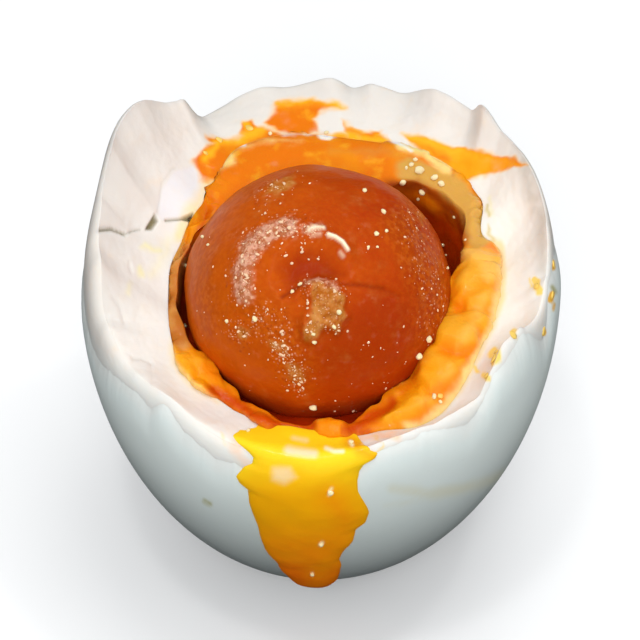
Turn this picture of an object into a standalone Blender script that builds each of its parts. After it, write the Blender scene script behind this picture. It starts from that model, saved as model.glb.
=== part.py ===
"""A salted duck egg, opened at its blunt end, with its red yolk showing and oil running down the front.

Run it with: blender --background --python part.py
Units are metres and +Z is up. The egg stands on the origin on a small flat spot at its pointed end.
The oil runs down the side that faces -Y. A height is counted from the waist, the egg's widest level.
An azimuth is an angle round the egg, from +X towards +Y, in radians unless its name says degrees.
"""

import math

import bmesh
import bpy
from mathutils import Vector, noise

MM = 0.001

EGG_COLLECTION = "salted duck egg"
CUTTER_COLLECTION = "cutters"

# The whole egg, as it was before its blunt end was opened.
WAIST_RADIUS = 23.5 * MM
POINTED_LENGTH = 35.0 * MM
BLUNT_LENGTH = 29.0 * MM
FLAT_RADIUS = 6.0 * MM
WAIST_Z = POINTED_LENGTH * math.sqrt(1 - (FLAT_RADIUS / WAIST_RADIUS) ** 2)
FOOT_ANGLE = -math.acos(FLAT_RADIUS / WAIST_RADIUS)

# The share of the way up the outside that lies on the flat spot, and the size of the triangle in its middle.
FLAT_SHARE = 0.07
FLAT_TRIANGLE_RADIUS = 4.0 * MM

# Touching pieces keep this gap.
GAP = 0.3 * MM

SHELL_THICKNESS = 0.45 * MM
WHITE_INSET = SHELL_THICKNESS + GAP

# The yolk, a ball that has set firm and settled a little.
YOLK_CENTRE = Vector((-0.2 * MM, -3.0 * MM, 2.2 * MM))
YOLK_RADIUS = 12.9 * MM
YOLK_HALF_HEIGHT = 11.7 * MM

# The dimple in the yolk's face, with a lump in it and an arched ridge above it. Angles are in radians.
DIMPLE_DIRECTION = Vector((0.0, -0.77, 0.64)).normalized()
DIMPLE_ANGLE = 0.40
DIMPLE_DEPTH = 1.1 * MM
LUMP_ANGLE = 0.17
LUMP_HEIGHT = 0.9 * MM
RIDGE_ANGLE = 0.52
RIDGE_WIDTH_ANGLE = 0.12
RIDGE_HEIGHT = 0.35 * MM

# The hollow that the yolk lies in: a bowl below, and a wider mouth where the white was broken open.
BOWL_CENTRE = Vector((0.3 * MM, -2.8 * MM, 2.2 * MM))
BOWL_RADIUS = 16.0 * MM
BOWL_HALF_HEIGHT = 13.8 * MM
MOUTH_CENTRE = Vector((1.2 * MM, -2.2 * MM, 0))
MOUTH_EASE = 1.5

# The soft curd of outer yolk that clings to the hollow.
CURD_FLOOR_THICKNESS = 1.2 * MM
CURD_LUMP_HEIGHT = 0.5 * MM
CURD_LUMP_SIZE = 2.2 * MM
CURD_LUMP_VARIATION = 0.6

# The red oil that lies between the yolk and the curd. Its highest and lowest rings, past this rise, lie
# midway between the two.
OIL_HEIGHT = -5.0 * MM
OIL_DEPTH = 3.0 * MM
OIL_EDGE_RISE = 0.99
TORUS_MINOR_RADIUS = 0.25

# The oil that ran over the front. It starts on the broken white, this share of the way to the mouth,
# crosses the lip in the first part of its length and then follows the shell down.
RUN_THICKNESS = 1.0 * MM
RUN_START_HEIGHT = 2.0 * MM
RUN_END_HEIGHT = -27.5 * MM
RUN_START_SHARE = 0.8
RUN_LIP_SHARE = 0.22
RUN_CORNER_SHARE = 0.1
RUN_SIDE_THICKNESS_SHARE = 0.05
RUN_WALL_GAP = 0.35 * MM
RUN_LIP_GAP = 1.15 * MM
RUN_LIP_GAP_END_SHARE = 0.5
RUN_LIP_GAP_FADE = 0.2

# How steeply the broken face of the white falls from its crest, and how rough it is.
FACE_FALL = 1.6
FACE_ROUGHNESS = 0.45 * MM
FACE_LUMP_SIZE = 4.5 * MM

# The big flake of white at the back left has cracked free and leans outwards.
FLAKE_DEGREES = 151
FLAKE_HALF_WIDTH_DEGREES = 24
FLAKE_LEAN = 1.5 * MM
FLAKE_FOOT_HEIGHT = 4.0 * MM
FLAKE_HEIGHT = 14.0 * MM

CRACK_START = Vector((-24.0 * MM, 2.6 * MM, 8.0 * MM))
CRACK_END = Vector((-11.5 * MM, 3.9 * MM, 4.2 * MM))
CRACK_WIDTH = 0.9 * MM
CRACK_DEPTH = 3.2 * MM
CRACK_WAVE = 0.35 * MM
CRACK_WAVES = 1.5
CRACK_TAPER = 4

# Stations round the egg: (azimuth in degrees, value in millimetres).
SHELL_EDGE_HEIGHTS = (
    (7, 4.6), (40, 3.6), (90, 3.4), (122, 3.2), (150, 3.0), (176, 2.7), (185, 1.7), (191, 0.4),
    (198, -0.6), (207, 0.0), (214, 1.0), (221, 1.6), (226, 1.0), (230, 2.8), (237, 0.5), (246, -1.3),
    (255, -1.5), (275, -0.8), (287, 1.9), (296, 2.2), (307, 1.0), (318, 5.0), (327, 6.4), (337, 2.4),
    (345, 6.6), (352, 6.8),
)  # fmt: skip
CREST_HEIGHTS = (
    (0, 9.4), (14, 11.0), (33, 10.2), (39, 12.5), (46, 9.9), (56, 10.4), (69, 7.7), (76, 8.2),
    (81, 7.1), (87, 8.6), (98, 7.3), (105, 7.8), (122, 5.9), (131, 10.6), (148, 14.2), (162, 13.4),
    (172, 9.8), (188, 8.2), (202, 4.4), (214, 3.0), (230, 3.4), (248, 0.9), (266, 0.4), (289, 2.4),
    (310, 2.8), (322, 7.0), (337, 5.6),
)  # fmt: skip
MOUTH_HEIGHTS = (
    (0, 4.0), (30, 6.0), (62, 7.0), (100, 7.0), (125, 6.4), (150, 6.0), (170, 4.2), (190, 2.6),
    (215, 0.9), (240, -0.5), (270, -0.9), (300, 0.0), (330, 2.5),
)  # fmt: skip
MOUTH_RADII = (
    (0, 16.2), (9, 16.5), (17, 15.2), (31, 16.9), (42, 17.2), (80, 16.2), (120, 18.1), (138, 15.9),
    (150, 14.9), (162, 15.2), (180, 15.8), (221, 17.5), (262, 16.4), (286, 18.0), (339, 16.1),
)  # fmt: skip
CURD_THICKNESSES = (
    (0, 3.0), (16, 2.2), (34, 3.0), (60, 2.2), (90, 3.4), (120, 3.6), (148, 0.9), (172, 0.9),
    (198, 0.8), (216, 1.9), (232, 2.1), (246, 1.2), (262, 1.0), (274, 1.8), (284, 1.2), (302, 2.6),
    (318, 2.4), (332, 3.2),
)  # fmt: skip

# The run's two edges, as (height in millimetres, left degrees, right degrees) from its top down.
RUN_EDGES = (
    (2.0, 246.5, 280), (0.0, 249.5, 281.5), (-2.6, 250.5, 279.5), (-8.0, 253.6, 281.4),
    (-12.0, 254.6, 278.6), (-16.0, 255.6, 276.2), (-20.0, 257.8, 276.2), (-27.5, 260.5, 276),
)  # fmt: skip

SHELL_COLOUR = (0.60, 0.67, 0.66, 1)
WHITE_COLOUR = (0.90, 0.84, 0.78, 1)
CURD_COLOUR = (0.95, 0.42, 0.03, 1)
YOLK_COLOUR = (0.55, 0.10, 0.01, 1)
OIL_COLOUR = (0.32, 0.03, 0.005, 1)
RUN_COLOUR = (0.90, 0.45, 0.01, 1)


def eased(share):
    """A share from 0 to 1 with a soft start and end."""
    share = min(1.0, max(0.0, share))
    return share * share * (3 - 2 * share)


def around(azimuth, stations):
    """The value at this azimuth, eased from each station to the next, in metres."""
    degrees = math.degrees(azimuth) % 360
    closed = stations + ((stations[0][0] + 360, stations[0][1]),)
    for (start, first), (end, second) in zip(closed, closed[1:]):
        if degrees <= end:
            return (first + (second - first) * eased((degrees - start) / (end - start))) * MM
    return closed[-1][1] * MM


def egg_radius(height, inset=0.0):
    """The whole egg's radius at this height, on a surface this far inside the shell's outer face."""
    length = (BLUNT_LENGTH if height > 0 else POINTED_LENGTH) - inset
    return (WAIST_RADIUS - inset) * math.sqrt(max(0.0, 1 - (height / length) ** 2))


def flake_lean(azimuth, height):
    """How far the cracked flake of white leans outwards here."""
    turn = abs((math.degrees(azimuth) - FLAKE_DEGREES + 180) % 360 - 180)
    sideways = eased(1 - turn / FLAKE_HALF_WIDTH_DEGREES)
    upwards = eased((height - FLAKE_FOOT_HEIGHT) / (FLAKE_HEIGHT - FLAKE_FOOT_HEIGHT))
    return FLAKE_LEAN * sideways * upwards


def outer_wall(azimuth, share, top_height, inset):
    """A point up the egg's outside, share 0 at the middle of its flat spot and 1 at top_height."""
    if share < FLAT_SHARE:
        radius = FLAT_RADIUS * share / FLAT_SHARE
        return Vector((radius * math.cos(azimuth), radius * math.sin(azimuth), inset))
    top_angle = math.asin(top_height / (BLUNT_LENGTH if top_height > 0 else POINTED_LENGTH))
    angle = FOOT_ANGLE + (top_angle - FOOT_ANGLE) * (share - FLAT_SHARE) / (1 - FLAT_SHARE)
    height = (BLUNT_LENGTH if angle > 0 else POINTED_LENGTH) * math.sin(angle)
    height = max(height, inset - WAIST_Z)
    radius = egg_radius(height, inset)
    if inset >= WHITE_INSET:
        radius += flake_lean(azimuth, height)
    return Vector((radius * math.cos(azimuth), radius * math.sin(azimuth), WAIST_Z + height))


def mouth_point(azimuth, inset=0.0):
    """A point on the edge of the hollow's mouth, with the azimuth taken round the mouth's centre."""
    radius = around(azimuth, MOUTH_RADII) - inset
    height = around(azimuth, MOUTH_HEIGHTS)
    offset = Vector((radius * math.cos(azimuth), radius * math.sin(azimuth), WAIST_Z + height))
    return MOUTH_CENTRE + offset


def hollow_point(azimuth, share, inset=0.0, floor_inset=0.0):
    """A point down the hollow's wall, share 0 at the mouth and 1 at the bottom.

    The wall stands inset inside the mouth's edge, and floor_inset inside the bowl.
    """
    mouth_height = around(azimuth, MOUTH_HEIGHTS)
    bottom_height = BOWL_CENTRE.z - BOWL_HALF_HEIGHT + floor_inset
    height = mouth_height + (bottom_height - mouth_height) * math.sin(share * math.pi / 2)
    rise = (height - BOWL_CENTRE.z) / (BOWL_HALF_HEIGHT - floor_inset)
    radius = (BOWL_RADIUS - floor_inset) * math.sqrt(max(0.0, 1 - rise * rise))
    bowl = Vector((BOWL_CENTRE.x, BOWL_CENTRE.y, 0)) + Vector(
        (radius * math.cos(azimuth), radius * math.sin(azimuth), WAIST_Z + height)
    )
    mouth = mouth_point(azimuth, inset)
    mouth.z = bowl.z
    return bowl.lerp(mouth, (1 - share) ** MOUTH_EASE)


def roughness(point):
    """The lift of the broken white at this point, the same on every run."""
    return FACE_ROUGHNESS * noise.noise(point / FACE_LUMP_SIZE)


def broken_face(azimuth, share):
    """A point on the broken white, share 0 on its crest and 1 on the mouth of the hollow."""
    crest = outer_wall(azimuth, 1, around(azimuth, CREST_HEIGHTS), WHITE_INSET)
    mouth = mouth_point(azimuth)
    point = crest.lerp(mouth, share)
    point.z = mouth.z + (crest.z - mouth.z) * (1 - share) ** FACE_FALL
    point.z += roughness(point) * math.sin(share * math.pi)
    return point


def moulded(name, segments, rings, place, colour, roughness_value):
    """Make a closed solid from a UV sphere.

    place(azimuth, share) gives each point its position, share 0 at the lower pole and 1 at the upper.
    """
    mesh = bpy.data.meshes.new(name)
    shape = bmesh.new()
    bmesh.ops.create_uvsphere(shape, u_segments=segments, v_segments=rings, radius=1)
    for vert in shape.verts:
        share = 0.5 + math.asin(max(-1.0, min(1.0, vert.co.z))) / math.pi
        azimuth = math.atan2(vert.co.y, vert.co.x) % math.tau
        vert.co = place(azimuth, share)
    shape.to_mesh(mesh)
    shape.free()
    return finished(bpy.data.objects.new(name, mesh), colour, roughness_value)


def finished(piece, colour, roughness_value):
    """Link a piece to the egg's collection, colour it and shade it smooth."""
    material = bpy.data.materials.new(piece.name)
    material.use_nodes = True
    shader = material.node_tree.nodes["Principled BSDF"]
    shader.inputs["Base Color"].default_value = colour
    shader.inputs["Roughness"].default_value = roughness_value
    shader.inputs["Metallic"].default_value = 0.0
    piece.data.materials.clear()
    piece.data.materials.append(material)
    piece.data.shade_smooth()
    bpy.data.collections[EGG_COLLECTION].objects.link(piece)
    return piece


def clear_scene():
    """Empty the scene and make the collections for the egg and the cutters."""
    for piece in list(bpy.data.objects):
        bpy.data.objects.remove(piece)
    for name in (EGG_COLLECTION, CUTTER_COLLECTION):
        bpy.context.scene.collection.children.link(bpy.data.collections.new(name))


def close_foot(mesh, segments):
    """Close the cup's open foot with a flat face: a triangle in the middle and a ring of triangles round it."""
    shape = bmesh.new()
    shape.from_mesh(mesh)
    foot = sorted(shape.verts, key=lambda vert: vert.co.z)[:segments]
    foot.sort(key=lambda vert: math.atan2(vert.co.y, vert.co.x))
    corners = []
    for vert in foot:
        vert.co.z = 0
    for third in range(3):
        middle = foot[segments * third // 3 + segments // 6].co
        corners.append(shape.verts.new(middle * FLAT_TRIANGLE_RADIUS / FLAT_RADIUS))
    for index, vert in enumerate(foot):
        following = foot[(index + 1) % segments]
        third = index * 3 // segments
        next_third = (index + 1) * 3 // segments % 3
        shape.faces.new((following, vert, corners[third]))
        if next_third != third:
            shape.faces.new((following, corners[third], corners[next_third]))
    shape.faces.new((corners[0], corners[2], corners[1]))
    shape.to_mesh(mesh)
    shape.free()


def make_shell():
    """The blue-green shell, broken off along a jagged edge near the waist.

    A profile is turned into an open cup, its edge is raised or lowered, its foot is closed with a flat
    face, and Solidify gives it thickness.
    """
    segments, steps = 72, 12
    profile = bpy.data.meshes.new("shell profile")
    points = [outer_wall(0, 1 - (1 - FLAT_SHARE) * step / steps, 0.0, 0.0) for step in range(steps + 1)]
    profile.from_pydata(points, [(i, i + 1) for i in range(steps)], [])
    turned = bpy.data.objects.new("shell turning", profile)
    bpy.context.scene.collection.objects.link(turned)
    screw = turned.modifiers.new("turn", "SCREW")
    screw.steps = screw.render_steps = segments
    screw.use_merge_vertices = True
    screw.merge_threshold = 0.00001
    mesh = bpy.data.meshes.new_from_object(turned.evaluated_get(bpy.context.evaluated_depsgraph_get()))
    bpy.data.objects.remove(turned)
    mesh.name = "shell"
    for vert in mesh.vertices:
        azimuth = math.atan2(vert.co.y, vert.co.x)
        angle = math.asin(min(0.0, max(-1.0, (vert.co.z - WAIST_Z) / POINTED_LENGTH)))
        share = max(0.0, (angle - FOOT_ANGLE) / -FOOT_ANGLE)
        edge = around(azimuth, SHELL_EDGE_HEIGHTS)
        vert.co = outer_wall(azimuth, FLAT_SHARE + share * (1 - FLAT_SHARE), edge, 0.0)
    close_foot(mesh, segments)
    shell = finished(bpy.data.objects.new("shell", mesh), SHELL_COLOUR, 0.45)
    wall = shell.modifiers.new("wall", "SOLIDIFY")
    wall.thickness = SHELL_THICKNESS
    wall.offset = -1
    return shell


def make_white():
    """The set white: a thick cup inside the shell, broken open above, with a crack on its left."""
    outside_share, face_share = 0.40, 0.66

    def place(azimuth, share):
        if share <= outside_share:
            crest = around(azimuth, CREST_HEIGHTS)
            return outer_wall(azimuth, share / outside_share, crest, WHITE_INSET)
        if share <= face_share:
            return broken_face(azimuth, (share - outside_share) / (face_share - outside_share))
        return hollow_point(azimuth, (share - face_share) / (1 - face_share))

    white = moulded("white", 72, 32, place, WHITE_COLOUR, 0.35)
    crack = white.modifiers.new("crack", "BOOLEAN")
    crack.object = make_crack_cutter()
    return white


def make_crack_cutter():
    """A wavy wedge along the line where the flake came away from the rest of the white."""
    mesh = bpy.data.meshes.new("crack cutter")
    shape = bmesh.new()
    bmesh.ops.create_cube(shape, size=1)
    bmesh.ops.subdivide_edges(
        shape,
        edges=[edge for edge in shape.edges if abs(edge.verts[0].co.x - edge.verts[1].co.x) > 0.5],
        cuts=7,
    )
    for vert in shape.verts:
        share = vert.co.x + 0.5
        half_width = CRACK_WIDTH / 2 if vert.co.z > 0 else CRACK_WIDTH / 2 / CRACK_TAPER
        point = CRACK_START.lerp(CRACK_END, share)
        point.y += CRACK_WAVE * math.sin(share * math.tau * CRACK_WAVES)
        point.y += half_width * (1 if vert.co.y > 0 else -1)
        point.z += WAIST_Z + (CRACK_DEPTH if vert.co.z > 0 else -CRACK_DEPTH)
        vert.co = point
    shape.to_mesh(mesh)
    shape.free()
    cutter = bpy.data.objects.new("crack_cutter", mesh)
    cutter.hide_render = True
    cutter.display_type = "WIRE"
    bpy.data.collections[CUTTER_COLLECTION].objects.link(cutter)
    return cutter


def curd_inset(azimuth):
    """How far inside the mouth's edge the curd's inner wall stands."""
    return GAP + around(azimuth, CURD_THICKNESSES)


def make_curd():
    """The soft outer yolk that lines the hollow, thick and lumpy at its edge."""
    outside_share, edge_share = 0.38, 0.62
    floor_inset = GAP + CURD_FLOOR_THICKNESS

    def place(azimuth, share):
        if share <= outside_share:
            return hollow_point(azimuth, 1 - share / outside_share, GAP, GAP)
        if share >= edge_share:
            down = (share - edge_share) / (1 - edge_share)
            return hollow_point(azimuth, down, curd_inset(azimuth), floor_inset)
        across = (share - outside_share) / (edge_share - outside_share)
        start = hollow_point(azimuth, 0, GAP, GAP)
        end = hollow_point(azimuth, 0, curd_inset(azimuth), floor_inset)
        point = start.lerp(end, across)
        lump = 1 + CURD_LUMP_VARIATION * noise.noise(point / CURD_LUMP_SIZE)
        point.z += CURD_LUMP_HEIGHT * lump * math.sin(across * math.pi)
        return point

    return moulded("curd", 64, 16, place, CURD_COLOUR, 0.4)


def yolk_surface(height, azimuth, clearance=0.0):
    """A point on the smooth yolk at this height, or this far outside it."""
    rise = (height - YOLK_CENTRE.z) / YOLK_HALF_HEIGHT
    radius = YOLK_RADIUS * math.sqrt(max(0.0, 1 - rise * rise)) + clearance
    return Vector((YOLK_CENTRE.x, YOLK_CENTRE.y, 0)) + Vector(
        (radius * math.cos(azimuth), radius * math.sin(azimuth), WAIST_Z + height)
    )


def yolk_relief(direction):
    """How far the yolk stands out of its smooth form in this direction from its centre."""
    turn = direction.angle(DIMPLE_DIRECTION)
    upper = eased(0.5 + (direction.z - DIMPLE_DIRECTION.z) * 2)
    dimple = -DIMPLE_DEPTH * eased(1 - turn / DIMPLE_ANGLE)
    lump = LUMP_HEIGHT * eased(1 - turn / LUMP_ANGLE)
    ridge = RIDGE_HEIGHT * upper * math.exp(-(((turn - RIDGE_ANGLE) / RIDGE_WIDTH_ANGLE) ** 2))
    return dimple + lump + ridge


def make_yolk():
    """The firm red yolk, a settled ball with a dimple in its face."""

    def place(azimuth, share):
        tilt = (share - 0.5) * math.pi
        direction = Vector(
            (math.cos(azimuth) * math.cos(tilt), math.sin(azimuth) * math.cos(tilt), math.sin(tilt))
        )
        flat = Vector((direction.x * YOLK_RADIUS, direction.y * YOLK_RADIUS, 0))
        point = flat + Vector((0, 0, WAIST_Z + direction.z * YOLK_HALF_HEIGHT))
        return YOLK_CENTRE + point + direction * yolk_relief(direction)

    return moulded("yolk", 44, 24, place, YOLK_COLOUR, 0.25)


def curd_wall_at(height, azimuth, inset):
    """A point on the curd's inner wall at this height, or this far inside it."""
    floor_inset = GAP + CURD_FLOOR_THICKNESS + inset
    mouth_height = around(azimuth, MOUTH_HEIGHTS)
    bottom_height = BOWL_CENTRE.z - BOWL_HALF_HEIGHT + floor_inset
    share = math.asin((mouth_height - height) / (mouth_height - bottom_height)) * 2 / math.pi
    return hollow_point(azimuth, share, curd_inset(azimuth) + inset, floor_inset)


def make_oil():
    """The ring of red oil that fills the gap round the yolk up to one level."""
    bpy.ops.mesh.primitive_torus_add(
        major_segments=48, minor_segments=8, major_radius=1, minor_radius=TORUS_MINOR_RADIUS
    )
    oil = bpy.context.object
    oil.name = oil.data.name = "oil"
    for vert in oil.data.vertices:
        azimuth = math.atan2(vert.co.y, vert.co.x)
        outwards = math.hypot(vert.co.x, vert.co.y) > 1
        upwards = min(1.0, max(-1.0, vert.co.z / TORUS_MINOR_RADIUS))
        height = OIL_HEIGHT - OIL_DEPTH * (1 - upwards) / 2
        inner = yolk_surface(height, azimuth, GAP)
        outer = curd_wall_at(height, azimuth, GAP)
        middle = inner.lerp(outer, 0.5)
        edge = outer if outwards else inner
        vert.co = middle if abs(upwards) > OIL_EDGE_RISE else edge
    for collection in list(oil.users_collection):
        collection.objects.unlink(oil)
    return finished(oil, OIL_COLOUR, 0.1)


def run_edges_at(height):
    """The run's left and right azimuths at this height."""
    stations = [(top * MM, math.radians(left), math.radians(right)) for top, left, right in RUN_EDGES]
    for (top, *upper), (bottom, *lower) in zip(stations, stations[1:]):
        if height >= bottom:
            share = eased((top - height) / (top - bottom))
            return [a + (b - a) * share for a, b in zip(upper, lower)]
    return stations[-1][1:]


def run_bed(azimuth, share):
    """A point on what the run lies on, and the way out of it, share 0 at the mouth and 1 at the end."""
    outwards = Vector((math.cos(azimuth), math.sin(azimuth), 0))
    upright = Vector((0, 0, 1))
    lip_height = around(azimuth, CREST_HEIGHTS)
    if share < RUN_LIP_SHARE:
        across = share / RUN_LIP_SHARE
        crest = outer_wall(azimuth, 1, lip_height, 0.0)
        start = broken_face(azimuth, RUN_START_SHARE)
        point = start.lerp(crest, across)
        point.z = max(point.z, broken_face(azimuth, RUN_START_SHARE * (1 - across)).z)
        return point, (upright * (1 - across / 2) + outwards * across).normalized()
    down = (share - RUN_LIP_SHARE) / (1 - RUN_LIP_SHARE)
    height = lip_height + (RUN_END_HEIGHT - lip_height) * down
    point = outwards * egg_radius(height) + Vector((0, 0, WAIST_Z + height))
    slope = height * (WAIST_RADIUS / POINTED_LENGTH) ** 2 if height < 0 else height
    out = (outwards * egg_radius(height) + Vector((0, 0, slope))).normalized()
    return point, (out + upright / 2 * max(0.0, 1 - down / RUN_CORNER_SHARE)).normalized()


def make_run():
    """The yellow oil that ran from the mouth over the edge and down the front of the shell."""

    def place(azimuth, share):
        along = 0.5 - math.cos((1 - share) * math.pi) / 2
        middle_height = RUN_START_HEIGHT + (RUN_END_HEIGHT - RUN_START_HEIGHT) * along
        left, right = run_edges_at(middle_height)
        ends = math.sqrt(max(0.0, 1 - (2 * share - 1) ** 8))
        across = -math.cos(azimuth) * ends
        place_azimuth = (left + right) / 2 + (right - left) / 2 * across
        bed, out = run_bed(place_azimuth, along)
        swell = 0.5 + 0.5 * math.sin(azimuth) * ends
        near_lip = eased((RUN_LIP_GAP_END_SHARE - along) / RUN_LIP_GAP_FADE)
        clearance = RUN_WALL_GAP + (RUN_LIP_GAP - RUN_WALL_GAP) * near_lip
        thickness = RUN_THICKNESS * swell * math.sqrt(max(RUN_SIDE_THICKNESS_SHARE, ends))
        return bed + out * (clearance + thickness)

    return moulded("run", 16, 26, place, RUN_COLOUR, 0.15)


def main():
    """Build the egg."""
    clear_scene()
    make_shell()
    make_white()
    make_curd()
    make_yolk()
    make_oil()
    make_run()


main()
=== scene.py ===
"""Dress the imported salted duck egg: shell, broken white, curd, yolk, oil, the run, and its studio.

Units are metres, +Z is up and the egg stands on the origin. A height is counted from the waist, the
egg's widest level, and an azimuth is an angle round the egg from +X towards +Y. The oil runs down the
side that faces -Y. Marks such as stains and cracks are placed by where they show in a 640-pixel view
from the front, and lie on the surface that carries them.
"""

import logging
import math
import random
from dataclasses import dataclass
from enum import Enum
from typing import Callable, Sequence

import bpy
import numpy as np
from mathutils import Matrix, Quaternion, Vector, noise
from mathutils.bvhtree import BVHTree

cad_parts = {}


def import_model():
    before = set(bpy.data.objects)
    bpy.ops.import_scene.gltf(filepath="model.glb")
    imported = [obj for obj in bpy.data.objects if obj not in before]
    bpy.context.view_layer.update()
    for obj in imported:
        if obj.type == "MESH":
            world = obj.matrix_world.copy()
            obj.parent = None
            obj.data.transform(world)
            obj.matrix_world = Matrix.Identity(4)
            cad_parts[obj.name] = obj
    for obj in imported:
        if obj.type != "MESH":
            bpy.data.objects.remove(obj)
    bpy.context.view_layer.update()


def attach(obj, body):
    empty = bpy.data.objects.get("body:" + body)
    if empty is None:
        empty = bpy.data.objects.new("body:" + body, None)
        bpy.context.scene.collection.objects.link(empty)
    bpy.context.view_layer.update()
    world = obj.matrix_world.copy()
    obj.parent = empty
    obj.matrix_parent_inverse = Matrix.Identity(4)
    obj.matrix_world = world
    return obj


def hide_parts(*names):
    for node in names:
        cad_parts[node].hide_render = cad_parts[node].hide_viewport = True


LOG = logging.getLogger("salted_duck_egg")
MM = 0.001
THOUSANDTH = 0.001
TINY = 1e-6
Array = np.ndarray
Piece = bpy.types.Object
Socket = bpy.types.NodeSocket
Stations = Sequence[tuple[float, float]]
Pixels = Sequence[tuple[float, float]]
Layers = Sequence[tuple[float, float, float]]
Colour = tuple[float, float, float]

# Stations round the egg: (azimuth in degrees, value in millimetres).
SHELL_EDGE_HEIGHTS = (
    (7, 4.6), (40, 3.6), (90, 3.4), (122, 3.2), (150, 3.0), (176, 2.7), (185, 1.7), (191, 0.4),
    (198, -0.6), (207, 0.0), (214, 1.0), (221, 1.6), (226, 1.0), (230, 2.8), (237, 0.5), (246, -1.3),
    (255, -1.5), (275, -0.8), (287, 1.9), (296, 2.2), (307, 1.0), (318, 5.0), (327, 6.4), (337, 2.4),
    (345, 6.6), (352, 6.8),
)
CREST_HEIGHTS = (
    (0, 9.4), (14, 11.0), (33, 10.2), (39, 12.5), (46, 9.9), (56, 10.4), (69, 7.7), (76, 8.2),
    (81, 7.1), (87, 8.6), (98, 7.3), (105, 7.8), (122, 5.9), (131, 10.6), (148, 14.2), (162, 13.4),
    (172, 9.8), (188, 8.2), (202, 4.4), (214, 3.0), (230, 3.4), (248, 0.9), (266, 0.4), (289, 2.4),
    (310, 2.8), (322, 7.0), (337, 5.6),
)
MOUTH_HEIGHTS = (
    (0, 4.0), (30, 6.0), (62, 7.0), (100, 7.0), (125, 6.4), (150, 6.0), (170, 4.2), (190, 2.6),
    (215, 0.9), (240, -0.5), (270, -0.9), (300, 0.0), (330, 2.5),
)
MOUTH_RADII = (
    (0, 16.2), (9, 16.5), (17, 15.2), (31, 16.9), (42, 17.2), (80, 16.2), (120, 18.1), (138, 15.9),
    (150, 14.9), (162, 15.2), (180, 15.8), (219, 17.2), (233, 16.6), (243, 16.5), (253, 17.0),
    (262, 16.4), (284, 16.9), (297, 18.0), (339, 16.1),
)
# How much of the gap between the mouth's edge and the yolk the curd fills: (degrees, thousandths).
CURD_REACHES = (
    (0, 900), (10, 560), (22, 280), (38, 380), (52, 560), (66, 1080), (90, 1150), (122, 1150),
    (140, 1080), (152, 1000), (163, 420), (175, 330), (190, 300), (203, 560), (212, 860), (222, 900),
    (230, 760), (236, 480), (244, 380), (252, 300), (261, 260), (267, 400), (275, 440), (280, 540),
    (286, 760), (292, 900), (303, 1000), (320, 1020), (334, 840), (346, 1000),
)
# How high the oil stands over the waist: (degrees, millimetres).
OIL_LEVELS = ((0, -4.6), (205, -4.6), (235, -3.6), (262, -3.1), (292, -3.4), (325, -4.6))
# How much the white's crest is rounded off: (degrees, millimetres).
CREST_DROPS = (
    (0, 0.30), (60, 0.35), (166, 0.40), (178, 1.00), (190, 1.40), (275, 1.40),
    (284, 1.10), (292, 1.00), (318, 0.90), (332, 0.50),
)
# The run's edges: (thousandths of the way from the mouth to its end, degrees).
RUN_LEFT = (
    (0, 247.0), (60, 246.0), (118, 245.4), (167, 246.7), (204, 249.7), (226, 252.4), (243, 253.9),
    (265, 253.9), (287, 252.0), (328, 250.0), (348, 250.8), (366, 252.9), (422, 253.1), (498, 253.9),
    (573, 254.5), (659, 255.3), (736, 256.9), (819, 258.2), (1000, 261.0),
)
RUN_RIGHT = (
    (0, 280.5), (100, 281.0), (180, 281.4), (232, 282.0), (251, 283.7), (266, 283.0), (274, 280.7),
    (293, 279.2), (322, 278.6), (363, 278.9), (411, 280.3), (471, 281.7), (516, 281.2), (542, 279.2),
    (598, 278.2), (653, 276.5), (711, 275.4), (761, 275.9), (819, 276.3), (1000, 275.5),
)
# How high the curd stands over the line from the white to the yolk: (degrees, thousandths of its crown).
CURD_CROWNS = (
    (0, 1100), (25, 700), (45, 450), (60, 450), (120, 450), (148, 400), (165, 200), (200, 200),
    (214, 700), (235, 600), (250, 350), (261, 400), (270, 1100), (280, 900), (290, 500), (310, 1100),
    (340, 1200),
)
# How gently the curd rises from the white: (degrees, 1 for flush).
CURD_FLUSHES = ((0, 0), (30, 0.6), (48, 1), (140, 1), (160, 0.3), (200, 0))
# How far the curd spills over the broken white, or stands back from it: (degrees, thousandths).
CURD_SPILLS = (
    (0, 80), (10, 80), (17, 10), (32, 40), (42, 90), (70, 130), (120, 130), (136, 70), (150, -40),
    (170, -30), (186, 20), (206, 60), (222, 80), (260, 50), (300, 90), (330, 110),
)


def eased(share: Array | float) -> Array:
    """A share from 0 to 1 with a soft start and end."""
    share = np.clip(share, 0.0, 1.0)
    return share * share * (3 - 2 * share)


def around(azimuth: Array, stations: Stations, unit: float = MM) -> Array:
    """Ease from each station to the next, round the egg.

    Args:
        azimuth: angles in radians.
        stations: (degrees, value), in order.
        unit: what a value of 1 is worth.

    Returns:
        The value at each azimuth, in metres if the stations are in millimetres.
    """
    places = np.array([place for place, _ in stations] + [stations[0][0] + 360.0])
    values = np.array([value for _, value in stations] + [stations[0][1]])
    degrees = np.degrees(azimuth) % 360
    index = np.clip(np.searchsorted(places, degrees, side="right") - 1, 0, len(stations) - 1)
    share = (degrees - places[index]) / (places[index + 1] - places[index])
    return (values[index] + (values[index + 1] - values[index]) * eased(share)) * unit


def joined(x: Array, y: Array, z: Array) -> Array:
    """Points from their three coordinates."""
    return np.stack(np.broadcast_arrays(x, y, z), axis=-1)


def outwards(azimuth: Array) -> Array:
    """Level unit directions out from the egg's axis."""
    return joined(np.cos(azimuth), np.sin(azimuth), 0 * azimuth)


def azimuth_of(points: Array) -> Array:
    """Each point's angle round the egg, in radians."""
    return np.arctan2(points[:, 1], points[:, 0])


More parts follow.
